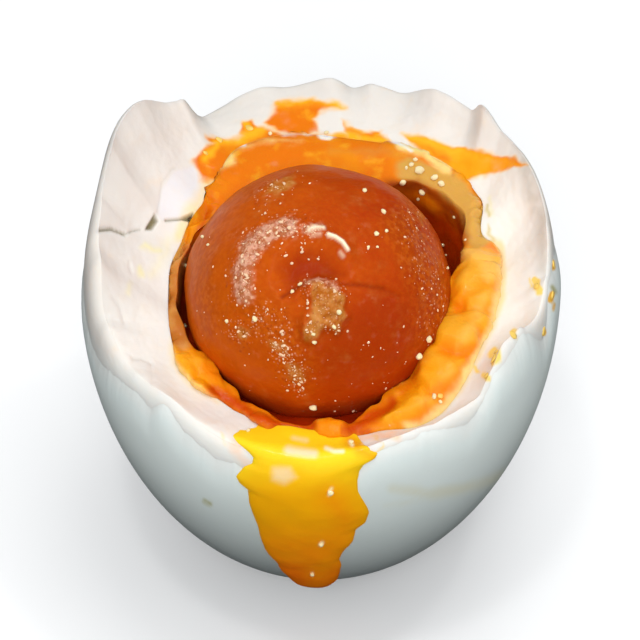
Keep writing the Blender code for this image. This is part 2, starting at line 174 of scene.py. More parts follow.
def waves(points: Array, size: float, seed: float = 0.0) -> Array:
    """Smooth noise from -1 to 1 at each point, with features of this size."""
    flat = points.reshape(-1, 3) / size + seed
    return np.array([noise.noise(place) for place in flat.tolist()]).reshape(points.shape[:-1])


def layered(points: Array, layers: Layers, unit: float = MM) -> Array:
    """Smooth noise of several sizes, added up.

    Args:
        points: places in metres, or directions.
        layers: (height, size of the features, seed) of each.
        unit: what a size of 1 is worth.

    Returns:
        The sum at each point.
    """
    return sum(height * waves(points, size * unit, seed) for height, size, seed in layers)


def lumps(
    points: Array, size: float, seed: float = 0.0, reach: float = 0.85, least: float = 0.35
) -> Array:
    """Round lumps with clefts between them.

    Args:
        points: places in metres.
        size: how far apart the lumps are.
        seed: moves them all.
        reach: where a lump's dome comes down to nothing, in sizes.
        least: what is left of the dome in a cleft.

    Returns:
        From 0 in the clefts to 1 on the lumps' tops.
    """
    flat = points.reshape(-1, 3) / size + seed
    nearest = np.array([noise.voronoi(place)[0][:2] for place in flat.tolist()])
    dome = 1 - np.clip(nearest[:, 0] / reach, 0, 1) ** 2
    cleft = eased((nearest[:, 1] - nearest[:, 0]) / 0.5)
    return (dome * (least + (1 - least) * cleft)).reshape(points.shape[:-1])


@dataclass(frozen=True)
class Viewpoint:
    """Where the front view is taken from, and how it falls on a 640-pixel frame."""

    distance: float = 260 * MM
    elevation: float = math.radians(45)
    target: Vector = Vector((0, 0, 33.84 * MM))
    middle: tuple[float, float] = (319.7, 287.0)
    pixel: float = 0.098 * MM
    frame: int = 640

    @property
    def axes(self) -> tuple[Vector, Vector, Vector]:
        """The view's right, up and forward directions."""
        sine, cosine = math.sin(self.elevation), math.cos(self.elevation)
        return Vector((1, 0, 0)), Vector((0, sine, cosine)), Vector((0, cosine, -sine))

    @property
    def eye(self) -> Vector:
        """The place the view is taken from."""
        return self.target - self.axes[2] * self.distance

    def pixels(self, points: Array) -> tuple[Array, Array]:
        """Where points fall in the frame.

        Args:
            points: places in metres, with the coordinates last.

        Returns:
            Pixels from the left and pixels from the top.
        """
        right, up, forward = (np.array(axis) for axis in self.axes)
        offset = points - np.array(self.eye)
        scale = self.distance / (offset @ forward) / self.pixel
        return self.middle[0] + offset @ right * scale, self.middle[1] - offset @ up * scale

    def ray(self, across: float, down: float) -> Vector:
        """The direction from the eye through a pixel."""
        right, up, forward = self.axes
        sideways = right * (across - self.middle[0]) * self.pixel
        upwards = up * (self.middle[1] - down) * self.pixel
        return (forward * self.distance + sideways + upwards).normalized()


VIEW = Viewpoint()


@dataclass(frozen=True)
class Mark:
    """A stain, crack, crumb or flat patch, drawn in the front view.

    A stroke, Mark(points, half-width, soft, strength), is a line. An area is a closed outline. Both
    fade over `soft` pixels.
    """

    points: Pixels
    width: float = 0.0
    soft: float = 4.0
    strength: float = 1.0
    area: bool = False

    def cover(self, across: Array, down: Array) -> Array:
        """How strongly the mark covers each place.

        Args:
            across: pixels from the left.
            down: pixels from the top.

        Returns:
            From 0 to the mark's strength.
        """
        distance = np.full(across.shape, np.inf)
        inside = np.zeros(across.shape, bool)
        ends = list(self.points[1:]) + ([self.points[0]] if self.area else [])
        for (x0, y0), (x1, y1) in zip(self.points, ends or self.points):
            dx, dy = x1 - x0, y1 - y0
            along = ((across - x0) * dx + (down - y0) * dy) / max(dx * dx + dy * dy, TINY)
            along = np.clip(along, 0, 1)
            gap = np.hypot(across - x0 - along * dx, down - y0 - along * dy)
            distance = np.minimum(distance, gap)
            if self.area and y0 != y1:
                crosses = (y0 > down) != (y1 > down)
                inside ^= crosses & (across < dx * (down - y0) / dy + x0)
        signed = np.where(inside, -distance, distance) if self.area else distance
        return self.strength * eased(0.5 - (signed - self.width) / self.soft)


Marks = Sequence[Mark]


def covered(points: Array, marks: Marks, wobble: float = 0.0) -> Array:
    """The strongest of these marks at each point.

    Args:
        points: places in metres.
        marks: what is drawn there.
        wobble: how far the marks' outlines wander, in pixels.

    Returns:
        The cover of each point, from 0 to 1.
    """
    across, down = VIEW.pixels(points)
    if wobble:
        across = across + wobble * layered(points, ((1, 2.2, 11.0), (0.6, 0.8, 13.0)))
        down = down + wobble * layered(points, ((1, 2.2, 17.0), (0.6, 0.8, 19.0)))
    cover = np.zeros(across.shape)
    for mark in marks:
        cover = np.maximum(cover, mark.cover(across, down))
    return cover


def turned_to_view(out: Array, start: float, span: float) -> Array:
    """How far each outward direction faces the front view, from 0 at the start to 1 past the span."""
    return eased((out @ -np.array(VIEW.axes[2]) - start) / span)


YOLK_CENTRE = Vector((-0.2 * MM, -3.0 * MM, 2.2 * MM))
YOLK_RADIUS = 12.9 * MM
YOLK_HALF_HEIGHT = 11.7 * MM


@dataclass(frozen=True)
class EggForm:
    """The whole egg as it was before it was opened, and the hollow inside its white."""

    waist_radius: float = 23.5 * MM
    pointed_length: float = 35.0 * MM
    blunt_length: float = 29.0 * MM
    flat_radius: float = 6.0 * MM
    flat_share: float = 0.07
    white_inset: float = 0.43 * MM
    bowl_centre: Vector = Vector((0.3 * MM, -2.8 * MM, 2.2 * MM))
    bowl_radius: float = 16.0 * MM
    bowl_half_height: float = 13.8 * MM
    mouth_centre: Vector = Vector((1.2 * MM, -2.2 * MM, 0))
    mouth_ease: float = 1.5
    face_fall: float = 1.6
    round_width: float = 1.15
    round_least: float = 0.05 * MM
    crest_jag: float = 0.16 * MM
    crest_layers: Layers = ((1, 0.12, 3.0), (0.5, 0.05, 5.0))
    over_shell: float = 0.45 * MM
    taper: float = 0.50 * MM
    taper_height: float = 5.0 * MM
    flake_degrees: float = 151
    flake_half_width: float = 24
    flake_lean: float = 1.5 * MM
    flake_foot: float = 4.0 * MM
    flake_top: float = 14.0 * MM

    @property
    def waist(self) -> float:
        """The waist's height over what the egg stands on."""
        return self.pointed_length * math.sqrt(1 - (self.flat_radius / self.waist_radius) ** 2)

    def length(self, height: Array) -> Array:
        """The egg's half length on the side of the waist that this height is on."""
        return np.where(height > 0, self.blunt_length, self.pointed_length)

    def radius(self, height: Array, inset: float = 0.0) -> Array:
        """The egg's radius at a height, this far inside the shell's outer face."""
        rise = height / (self.length(height) - inset)
        return (self.waist_radius - inset) * np.sqrt(np.clip(1 - rise * rise, 0, 1))

    def lean(self, azimuth: Array, height: Array) -> Array:
        """How far the cracked flake of white leans outwards."""
        turn = np.abs((np.degrees(azimuth) - self.flake_degrees + 180) % 360 - 180)
        sideways = eased(1 - turn / self.flake_half_width)
        upwards = eased((height - self.flake_foot) / (self.flake_top - self.flake_foot))
        return self.flake_lean * sideways * upwards

    def wall(
        self, azimuth: Array, share: Array, top: Array, inset: float, leans: bool = False
    ) -> Array:
        """Points up the egg's outside.

        Args:
            azimuth: angles in radians.
            share: 0 at the middle of the flat spot, 1 at top.
            top: the height where the wall ends.
            inset: how far inside the shell's outer face.
            leans: whether the flake leans out of it.

        Returns:
            Points in metres.
        """
        foot_angle = -math.acos(self.flat_radius / self.waist_radius)
        top_angle = np.arcsin(top / self.length(top))
        climb = (share - self.flat_share) / (1 - self.flat_share)
        angle = foot_angle + (top_angle - foot_angle) * np.clip(climb, 0, 1)
        height = np.maximum(self.length(angle) * np.sin(angle), inset - self.waist)
        radius = self.radius(height, inset)
        if leans:
            radius = radius + self.lean(azimuth, height)
        flat = share < self.flat_share
        radius = np.where(flat, self.flat_radius * share / self.flat_share, radius)
        z = np.where(flat, inset, self.waist + height)
        return joined(radius * np.cos(azimuth), radius * np.sin(azimuth), z)

    def rim(self, azimuth: Array, crest: Array) -> Array:
        """Points on the white's crest, before it is rounded."""
        return self.wall(azimuth, np.ones_like(azimuth), crest, self.white_inset, leans=True)

    def yolk_gap(self, azimuth: Array) -> Array:
        """The gap between the mouth's edge and the yolk, level with the edge.

        Args:
            azimuth: angles in radians, round the mouth's centre.

        Returns:
            The gap in metres.
        """
        rise = (around(azimuth, MOUTH_HEIGHTS) - YOLK_CENTRE.z) / YOLK_HALF_HEIGHT
        radius = YOLK_RADIUS * np.sqrt(np.clip(1 - rise * rise, 0.05, 1))
        x, y = (YOLK_CENTRE - self.mouth_centre).xy
        along = x * np.cos(azimuth) + y * np.sin(azimuth)
        beside = y * np.cos(azimuth) - x * np.sin(azimuth)
        reach = along + np.sqrt(np.clip(radius**2 - beside**2, 0, None))
        return around(azimuth, MOUTH_RADII) - reach

    def mouth(self, azimuth: Array, inset: Array | float = 0.0) -> Array:
        """Points on the edge of the hollow's mouth.

        Args:
            azimuth: angles in radians, round the mouth's centre.
            inset: how far inside the edge.

        Returns:
            Points in metres.
        """
        radius = around(azimuth, MOUTH_RADII) - inset
        height = around(azimuth, MOUTH_HEIGHTS) + self.waist
        points = joined(radius * np.cos(azimuth), radius * np.sin(azimuth), height)
        return points + np.array(self.mouth_centre)

    def hollow(
        self, azimuth: Array, share: Array, inset: Array | float, floor_inset: float
    ) -> Array:
        """Points down the hollow's wall.

        Args:
            azimuth: angles in radians.
            share: 0 at the mouth, 1 at the bottom.
            inset: how far inside the mouth's edge.
            floor_inset: how far inside the bowl.

        Returns:
            Points in metres.
        """
        top = around(azimuth, MOUTH_HEIGHTS)
        bottom = self.bowl_centre.z - self.bowl_half_height + floor_inset
        height = top + (bottom - top) * np.sin(share * math.pi / 2)
        rise = (height - self.bowl_centre.z) / (self.bowl_half_height - floor_inset)
        radius = (self.bowl_radius - floor_inset) * np.sqrt(np.clip(1 - rise * rise, 0, 1))
        bowl = joined(
            self.bowl_centre.x + radius * np.cos(azimuth),
            self.bowl_centre.y + radius * np.sin(azimuth),
            self.waist + height,
        )
        edge = self.mouth(azimuth, inset)
        edge[..., 2] = bowl[..., 2]
        return bowl + (edge - bowl) * ((1 - share) ** self.mouth_ease)[..., None]

    def face(self, azimuth: Array, share: Array, crest: Array) -> Array:
        """Points on the broken white.

        Args:
            azimuth: angles in radians.
            share: 0 on its crest, 1 on the hollow's mouth.
            crest: the crest's height.

        Returns:
            Points in metres.
        """
        top = self.rim(azimuth, crest)
        edge = self.mouth(azimuth)
        points = top + (edge - top) * share[..., None]
        points[..., 2] = edge[..., 2] + (top[..., 2] - edge[..., 2]) * (1 - share) ** self.face_fall
        return points

    def thinned(self, drop: Array) -> Array:
        """How much thinner the shell is this far under its broken edge."""
        return self.taper * np.clip(1 - drop / self.taper_height, 0, 1) ** 2

    def crest(self, azimuth: Array) -> Array:
        """The height of the white's crest, with its small scallops."""
        jag = self.crest_jag * layered(outwards(azimuth), self.crest_layers, 1)
        lowest = around(azimuth, SHELL_EDGE_HEIGHTS) + self.over_shell
        return np.maximum(around(azimuth, CREST_HEIGHTS), lowest) + jag

    def rounded(self, points: Array, azimuth: Array, crest: Array) -> Array:
        """Points near the white's crest, moved in and down so that the crest is round.

        Args:
            points: places in metres.
            azimuth: each point's angle, in radians.
            crest: the crest's height there.

        Returns:
            The moved points.
        """
        drop = around(azimuth, CREST_DROPS)
        width = self.round_width * drop + self.round_least
        near = drop * np.exp(-np.linalg.norm(points - self.rim(azimuth, crest), axis=-1) / width)
        slant = math.sqrt(0.5)
        return points - near[..., None] * joined(
            slant * np.cos(azimuth), slant * np.sin(azimuth), np.full_like(azimuth, slant)
        )


FORM = EggForm()


def new_piece(
    name: str, verts: Sequence[Sequence[float]], faces: Sequence[Sequence[int]]
) -> Piece:
    """Make a smooth mesh and put it in the scene.

    Args:
        name: the object's name.
        verts: its points in metres.
        faces: each face's corners, by number.

    Returns:
        The new object.
    """
    mesh = bpy.data.meshes.new(name)
    mesh.from_pydata(verts, [], faces)
    mesh.shade_smooth()
    piece = bpy.data.objects.new(name, mesh)
    bpy.context.scene.collection.objects.link(piece)
    return piece


def turned_mesh(
    name: str, columns: int, shares: Array, place: Callable[[Array, Array], Array]
) -> Piece:
    """Make a closed mesh of rings, with a single point at each end.

    Args:
        name: the object's name.
        columns: points in each ring.
        shares: the rings' shares, the first and last being the two end points.
        place: gives the points for arrays of azimuths and shares.

    Returns:
        The new object, linked to the scene and shaded smooth.
    """
    azimuths = np.arange(columns) * math.tau / columns
    azimuth, share = np.meshgrid(azimuths, shares, indexing="xy")
    points = place(azimuth, share)
    rings = points[1:-1].reshape(-1, 3)
    verts = np.concatenate([points[0].mean(0)[None], rings, points[-1].mean(0)[None]])
    count = len(shares) - 2
    column = np.arange(columns)
    after = (column + 1) % columns
    lower = 1 + np.arange(count - 1)[:, None] * columns
    quads = np.stack(
        [lower + column, lower + after, lower + columns + after, lower + columns + column], axis=-1
    ).reshape(-1, 4)
    last = len(verts) - 1
    start = last - columns
    bottom = np.stack([np.zeros_like(column), 1 + after, 1 + column], axis=-1)
    top = np.stack([np.full_like(column, last), start + column, start + after], axis=-1)
    faces = quads.tolist() + bottom.tolist() + top.tolist()
    return new_piece(name, verts.tolist(), faces)


def by_ring(values: Array, columns: int) -> Array:
    """Each ring's value on all its points, with 0 at a turned mesh's two end points."""
    return np.concatenate([[0.0], np.repeat(values, columns), [0.0]])


def points_of(piece: Piece) -> Array:
    """A piece's points, in metres."""
    places = np.zeros(len(piece.data.vertices) * 3, np.float32)
    piece.data.vertices.foreach_get("co", places)
    return places.reshape(-1, 3).astype(float)


def normals_of(piece: Piece) -> Array:
    """A piece's outward directions, point by point."""
    ways = np.zeros(len(piece.data.vertices) * 3, np.float32)
    piece.data.vertex_normals.foreach_get("vector", ways)
    return ways.reshape(-1, 3).astype(float)


def move_points(piece: Piece, points: Array) -> None:
    """Give a piece new points."""
    piece.data.vertices.foreach_set("co", points.astype(np.float32).ravel())
    piece.data.update()


def paint(piece: Piece, name: str, cover: Array) -> None:
    """Keep a mask on a piece's points, for its material to read."""
    layer = piece.data.attributes.new(name, "FLOAT", "POINT")
    layer.data.foreach_set("value", cover.astype(np.float32).ravel())


class Recipe:
    """A node tree under construction: a material's, or a node group's."""

    def __init__(self, tree: bpy.types.NodeTree) -> None:
        """Start from an empty tree."""
        self.tree = tree
        tree.nodes.clear()

    def node(self, kind: str, **settings: object) -> bpy.types.Node:
        """Add a node.

        Args:
            kind: the node's type.
            settings: its properties by name.

        Returns:
            The new node.
        """
        made = self.tree.nodes.new(kind)
        for name, value in settings.items():
            setattr(made, name, value)
        return made

    def feed(self, socket: Socket, value: object) -> None:
        """Link a socket to another, or set its value.

        Args:
            socket: the input to feed.
            value: another socket, a number or a colour.
        """
        if isinstance(value, Socket):
            self.tree.links.new(value, socket)
        elif isinstance(value, tuple) and len(value) == 3 and len(socket.default_value) == 4:
            socket.default_value = (*value, 1.0)
        else:
            socket.default_value = value

    def mix(self, cover: object, below: object, above: object) -> Socket:
        """One colour laid over another.

        Args:
            cover: how strongly, from 0 to 1.
            below: the colour under it.
            above: the colour laid over that.

        Returns:
            The mixed colour.
        """
        made = self.node("ShaderNodeMix", data_type="RGBA")
        for socket, value in ((made.inputs[0], cover), (made.inputs[6], below), (made.inputs[7], above)):
            self.feed(socket, value)
        return made.outputs[2]

    def maths(self, operation: str, *values: object) -> Socket:
        """Work out a value.

        Args:
            operation: the maths node's operation.
            values: what it works on.

        Returns:
            The result.
        """
        made = self.node("ShaderNodeMath", operation=operation)
        for socket, value in zip(made.inputs, values):
            self.feed(socket, value)
        return made.outputs[0]

    def times(self, value: object, share: object) -> Socket:
        """A value times a share."""
        return self.maths("MULTIPLY", value, share)

    def ramp(
        self, value: object, low: float, high: float, start: float = 0.0, end: float = 1.0
    ) -> Socket:
        """A value brought from one range to another, smoothly and within its ends.

        Args:
            value: what is read.
            low: the value that gives the start.
            high: the value that gives the end.
            start: the result's first value.
            end: the result's last value.

        Returns:
            The result.
        """
        made = self.node("ShaderNodeMapRange", interpolation_type="SMOOTHSTEP")
        for name, part in (
            ("Value", value), ("From Min", low), ("From Max", high), ("To Min", start), ("To Max", end)
        ):
            self.feed(made.inputs[name], part)
        return made.outputs["Result"]

    def mask(self, name: str) -> Socket:
        """A mask that was painted on the piece's points."""
        return self.node("ShaderNodeAttribute", attribute_name=name).outputs["Fac"]

    def place(self) -> Socket:
        """The place on the piece, in its own frame."""
        return self.node("ShaderNodeTexCoord").outputs["Object"]

    def use(self, group: bpy.types.NodeTree, **values: object) -> Socket:
        """Place a node group.

        Args:
            group: the group's tree.
            values: what feeds its inputs, by name.

        Returns:
            The group's one result.
        """
        made = self.node("ShaderNodeGroup", node_tree=group)
        for name, value in values.items():
            self.feed(made.inputs[name], value)
        return made.outputs[0]


class EffectKind(Enum):
    """The effects that more than one finish uses."""

    CLOUDS = "Clouds"
    RAGGED = "Ragged mask"
    SPECKS = "Specks"
    GRAIN = "Grain"


class Effects:
    """Builds each shared effect once, as a node group."""

    def __init__(self) -> None:
        """Start with nothing built."""
        self.built: dict[EffectKind, bpy.types.NodeTree] = {}

    def get(self, kind: EffectKind) -> bpy.types.NodeTree:
        """The node group of an effect, built on first use."""
        if kind not in self.built:
            makers = {
                EffectKind.CLOUDS: self.clouds,
                EffectKind.RAGGED: self.ragged,
                EffectKind.SPECKS: self.specks,
                EffectKind.GRAIN: self.grain,
            }
            self.built[kind] = makers[kind](kind.value)
        return self.built[kind]

    @staticmethod
    def started(
        name: str, inputs: Sequence[tuple[str, float]], output: str
    ) -> tuple[Recipe, bpy.types.Node, bpy.types.Node]:
        """A new group with number inputs and one number output.

        Args:
            name: the group's name.
            inputs: each input's name and first value.
            output: the output's name.

        Returns:
            The recipe, the group's input node and its output node.
        """
        tree = bpy.data.node_groups.new(name, "ShaderNodeTree")
        recipe = Recipe(tree)
        for label, value in inputs:
            socket = tree.interface.new_socket(name=label, in_out="INPUT", socket_type="NodeSocketFloat")
            socket.default_value = value
        tree.interface.new_socket(name=output, in_out="OUTPUT", socket_type="NodeSocketFloat")
        return recipe, recipe.node("NodeGroupInput"), recipe.node("NodeGroupOutput")

    def clouds(self, name: str) -> bpy.types.NodeTree:
        """Soft uneven patches, to these ends of the noise."""
        inputs = (("Scale", 200.0), ("Low", 0.35), ("High", 0.65), ("Detail", 4.0))
        recipe, given, result = self.started(name, inputs, "Cover")
        cloud = recipe.node("ShaderNodeTexNoise")
        recipe.feed(cloud.inputs["Vector"], recipe.place())
        recipe.feed(cloud.inputs["Scale"], given.outputs["Scale"])
        recipe.feed(cloud.inputs["Detail"], given.outputs["Detail"])
        cover = recipe.ramp(cloud.outputs["Fac"], given.outputs["Low"], given.outputs["High"])
        recipe.feed(result.inputs[0], cover)
        return recipe.tree

    def ragged(self, name: str) -> bpy.types.NodeTree:
        """A painted mask with its edge broken up."""
        inputs = (("Mask", 0.0), ("Scale", 900.0), ("Spread", 0.5), ("Sharpness", 0.2))
        recipe, given, result = self.started(name, inputs, "Cover")
        cloud = recipe.node("ShaderNodeTexNoise")
        recipe.feed(cloud.inputs["Vector"], recipe.place())
        recipe.feed(cloud.inputs["Scale"], given.outputs["Scale"])
        recipe.feed(cloud.inputs["Detail"], 3.0)
        swing = recipe.maths("SUBTRACT", cloud.outputs["Fac"], 0.5)
        pushed = recipe.maths("MULTIPLY_ADD", swing, given.outputs["Spread"], given.outputs["Mask"])
        low = recipe.maths("SUBTRACT", 0.5, given.outputs["Sharpness"])
        high = recipe.maths("ADD", 0.5, given.outputs["Sharpness"])
        recipe.feed(result.inputs[0], recipe.ramp(pushed, low, high))
        return recipe.tree

    def specks(self, name: str) -> bpy.types.NodeTree:
        """Scattered round specks, more of them where the mask is stronger."""
        inputs = (("Mask", 1.0), ("Scale", 1500.0), ("Share", 0.3), ("Size", 0.35))
        recipe, given, result = self.started(name, inputs, "Cover")
        cells = recipe.node("ShaderNodeTexVoronoi")
        recipe.feed(cells.inputs["Vector"], recipe.place())
        recipe.feed(cells.inputs["Scale"], given.outputs["Scale"])
        draw = recipe.node("ShaderNodeSeparateColor")
        recipe.feed(draw.inputs[0], cells.outputs["Color"])
        chosen = recipe.maths(
            "LESS_THAN", draw.outputs[0], recipe.times(given.outputs["Share"], given.outputs["Mask"])
        )
        size = recipe.times(given.outputs["Size"], draw.outputs[1])
        near = recipe.ramp(cells.outputs["Distance"], size, 0.0)
        recipe.feed(result.inputs[0], recipe.times(chosen, near))
        return recipe.tree

    def grain(self, name: str) -> bpy.types.NodeTree:
        """The height of a fine, uneven grain, two sizes at once."""
        finer = 3.1
        inputs = (("Scale", 1500.0), ("Fine", 0.5))
        recipe, given, result = self.started(name, inputs, "Height")
        place = recipe.place()
        grains = []
        for scale in (given.outputs["Scale"], recipe.times(given.outputs["Scale"], finer)):
            cloud = recipe.node("ShaderNodeTexNoise")
            recipe.feed(cloud.inputs["Vector"], place)
            recipe.feed(cloud.inputs["Scale"], scale)
            grains.append(cloud.outputs["Fac"])
        coarse, fine = grains
        recipe.feed(result.inputs[0], recipe.maths("MULTIPLY_ADD", fine, given.outputs["Fine"], coarse))
        return recipe.tree


EFFECTS = Effects()


@dataclass(frozen=True)
class Finish:
    """The plain numbers of a finish, set on the shader's own sockets."""

    name: str
    roughness: float = 0.4
    coat: float = 0.0
    coat_roughness: float = 0.05
    specular: float = 0.5
    scatter: float = 0.0
    scatter_depth: float = 1.5 * MM
    scatter_tint: Colour = (1.0, 0.6, 0.35)

    def start(self) -> tuple[Recipe, bpy.types.Node, bpy.types.Material]:
        """A material with its shader in place.

        Returns:
            The recipe, the shader and the material.
        """
        material = bpy.data.materials.new(self.name)
        material.use_nodes = True
        recipe = Recipe(material.node_tree)
        shader = recipe.node("ShaderNodeBsdfPrincipled")
        output = recipe.node("ShaderNodeOutputMaterial")
        recipe.feed(output.inputs["Surface"], shader.outputs[0])
        for label, value in (
            ("Roughness", self.roughness),
            ("Coat Weight", self.coat),
            ("Coat Roughness", self.coat_roughness),
            ("Specular IOR Level", self.specular),
            ("Subsurface Weight", self.scatter),
            ("Subsurface Scale", self.scatter_depth),
        ):
            shader.inputs[label].default_value = value
        shader.inputs["Subsurface Radius"].default_value = self.scatter_tint
        return recipe, shader, material

    def bump(
        self, recipe: Recipe, shader: bpy.types.Node, height: object, depth: float, strength: float
    ) -> None:
        """Lift the surface by a height field.

        Args:
            recipe: the material's tree.
            shader: the shader whose normal it changes.
            height: the height field.
            depth: how deep it is at its full range.
            strength: how much of it shows.
        """
        made = recipe.node("ShaderNodeBump")
        recipe.feed(made.inputs["Height"], height)
        made.inputs["Distance"].default_value = depth
        made.inputs["Strength"].default_value = strength
        recipe.feed(shader.inputs["Normal"], made.outputs[0])


def clouded(recipe: Recipe, scale: float, low: float, high: float) -> Socket:
    """The cover of soft uneven patches, between two ends of the noise."""
    return recipe.use(EFFECTS.get(EffectKind.CLOUDS), Scale=scale, Low=low, High=high)


def specked(recipe: Recipe, cover: object, scale: float, share: float, size: float) -> Socket:
    """The cover of scattered specks, this share of them at this size."""
    return recipe.use(EFFECTS.get(EffectKind.SPECKS), Mask=cover, Scale=scale, Share=share, Size=size)


def broken_up(recipe: Recipe, cover: object, edge: tuple[float, float, float]) -> Socket:
    """A cover with its edge broken up, to a scale, a spread and a sharpness."""
    scale, spread, sharpness = edge
    ragged = EFFECTS.get(EffectKind.RAGGED)
    return recipe.use(ragged, Mask=cover, Scale=scale, Spread=spread, Sharpness=sharpness)


def grained(recipe: Recipe, scale: float, fine: float) -> Socket:
    """The height of an uneven grain, with this much of the finer size."""
    return recipe.use(EFFECTS.get(EffectKind.GRAIN), Scale=scale, Fine=fine)


@dataclass(frozen=True)
class Stain:
    """A colour laid where a mask is painted. Its edge is broken up if it has (scale, spread, sharpness)."""

    mask: str
    colour: Colour | Socket
    share: float = 1.0
    edge: tuple[float, float, float] | None = None

    def cover(self, recipe: Recipe) -> Socket:
        """How strongly the stain covers each place."""
        cover = recipe.mask(self.mask)
        if self.edge:
            cover = broken_up(recipe, cover, self.edge)
        return recipe.times(cover, self.share) if self.share < 1 else cover


def stained(recipe: Recipe, colour: object, *stains: Stain) -> Socket:
    """Lay stains over a colour.

    Args:
        recipe: the material's tree.
        colour: the colour under them.
        stains: what is laid over it, in order.

    Returns:
        The stained colour.
    """
    for stain in stains:
        colour = recipe.mix(stain.cover(recipe), colour, stain.colour)
    return colour


def soaked(recipe: Recipe) -> Socket:
    """The colour of what the oil has soaked: orange, with soft paler streaks."""
    colour: object = (0.80, 0.185, 0.001)
    for scale, low, high, share, layer in (
        (230.0, 0.45, 0.75, 0.8, (0.86, 0.30, 0.003)),
        (420.0, 0.55, 0.70, 0.5, (0.90, 0.43, 0.012)),
    ):
        cloud = clouded(recipe, scale, low, high)
        colour = recipe.mix(recipe.times(cloud, share), colour, layer)
    return colour


def carried(piece: Piece, node: str, material: bpy.types.Material) -> None:
    """Dress a piece, let it ride on the egg and stand for its solid.

    Args:
        piece: the finished piece.
        node: the solid it stands for, or an empty string for none.
        material: the piece's finish.
    """
    piece.data.materials.append(material)
    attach(piece, "root")
    if node:
        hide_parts(node)
    LOG.info("%s: %d points, %d faces", piece.name, len(piece.data.vertices), len(piece.data.polygons))


@dataclass
class Shell:
    """The blue-green shell, broken off along a jagged edge near the waist."""

    columns: int = 1000
    thickness: float = 0.45 * MM
    jag: float = 0.30 * MM
    teeth: Layers = ((1, 0.09, 0.0), (0.8, 0.04, 7.0), (0.5, 0.016, 9.0))
    inner_drop: float = 0.05 * MM
    outside_rings: int = 64
    inside_rings: int = 24
    edge_reach: float = 3.2 * MM
    # How far below the waist the painted shade reaches its full depth.
    lower_shade_reach: float = 30 * MM
    stains: Marks = (
        Mark(((392, 489), (430, 494), (470, 487), (505, 474)), 5, 16, 0.8),
        Mark(((385, 505), (420, 500)), 3, 14, 0.5),
    )
    spots: Marks = (
        Mark(((204, 501), (210, 504)), 1.5, 5, 0.9),
        Mark(((552, 287), (555, 292)), 2, 4, 0.8),
    )
    drops: Marks = (
        Mark(((552, 262), (553, 268)), 3, 5, 0.8),
        Mark(((552, 294), (550, 300)), 3, 5),
        Mark(((543, 330), (543, 333)), 3, 5),
        Mark(((554, 304), (553, 310)), 2, 4, 0.7),
    )

    def edge(self, azimuth: Array) -> Array:
        """The height of the broken edge, with its fine teeth."""
        return around(azimuth, SHELL_EDGE_HEIGHTS) + self.jag * layered(outwards(azimuth), self.teeth, 1)

    def place(self, azimuth: Array, share: Array) -> Array:
        """The shell's points.

        Args:
            azimuth: angles in radians.
            share: 0 under the egg outside, a half on the broken edge, 1 under the egg inside.

        Returns:
            Points in metres.
        """
        edge = self.edge(azimuth)
        outside = np.clip(share * 2, 0, 1)
        inside = np.clip((1 - share) * 2, 0, 1)
        outer = FORM.wall(azimuth, outside, edge, 0.0)
        thin = FORM.thinned(edge - (outer[..., 2] - FORM.waist))
        radius = np.hypot(outer[..., 0], outer[..., 1])
        outer[..., :2] *= ((radius - thin) / np.maximum(radius, TINY))[..., None]
        inner = FORM.wall(azimuth, inside, edge - self.inner_drop, self.thickness)
        points = np.where((share <= 0.5)[..., None], outer, inner)
        return FORM.rounded(points, azimuth, FORM.crest(azimuth))

    def build(self) -> Piece:
        """Make the shell and paint its marks.

        Returns:
            The finished piece.
        """
        outside = 0.5 * (1 - (1 - np.linspace(0, 1, self.outside_rings)) ** 2)
        inside = np.linspace(0.502, 1, self.inside_rings)
        shell = turned_mesh("egg_shell", self.columns, np.concatenate([outside, inside]), self.place)
        points = points_of(shell)
        height = points[:, 2] - FORM.waist
        seen = turned_to_view(normals_of(shell), 0.02, 0.2)
        for name, marks in (("stain", self.stains), ("spot", self.spots), ("drop", self.drops)):
            paint(shell, name, covered(points, marks) * seen)
        paint(shell, "edge", eased(1 - (self.edge(azimuth_of(points)) - height) / self.edge_reach))
        # Painted shade: the shell is painted darker towards the bottom, where the light falls off.
        paint(shell, "lower", eased(-height / self.lower_shade_reach))
        carried(shell, "shell", self.finish())
        return shell

    def finish(self) -> bpy.types.Material:
        """Pale celadon eggshell, whiter along the break."""
        finish = Finish(
            "eggshell", roughness=0.42, specular=0.4, scatter=0.15, scatter_depth=0.8 * MM,
            scatter_tint=(1.0, 0.9, 0.8),
        )
        recipe, shader, material = finish.start()
        colour = recipe.mix(clouded(recipe, 90.0, 0.3, 0.75), (0.76, 0.84, 0.81), (0.80, 0.88, 0.85))
        # Painted shade, darker grey-green towards the bottom.
        colour = stained(recipe, colour, Stain("lower", (0.23, 0.26, 0.26)))
        pores = specked(recipe, 1.0, 900.0, 0.25, 0.3)
        colour = recipe.mix(recipe.times(pores, 0.10), colour, (0.40, 0.44, 0.42))
        colour = stained(
            recipe,
            colour,
            Stain("stain", (0.68, 0.64, 0.42), 0.55, (300.0, 0.5, 0.5)),
            Stain("edge", (0.81, 0.84, 0.80), edge=(500.0, 0.7, 0.48)),
            Stain("spot", (0.38, 0.36, 0.10)),
            Stain("drop", (0.85, 0.45, 0.06), edge=(900.0, 0.5, 0.3)),
        )
        recipe.feed(shader.inputs["Base Color"], colour)
        finish.bump(recipe, shader, grained(recipe, 1400.0, 0.4), 0.02 * MM, 0.5)
        return material


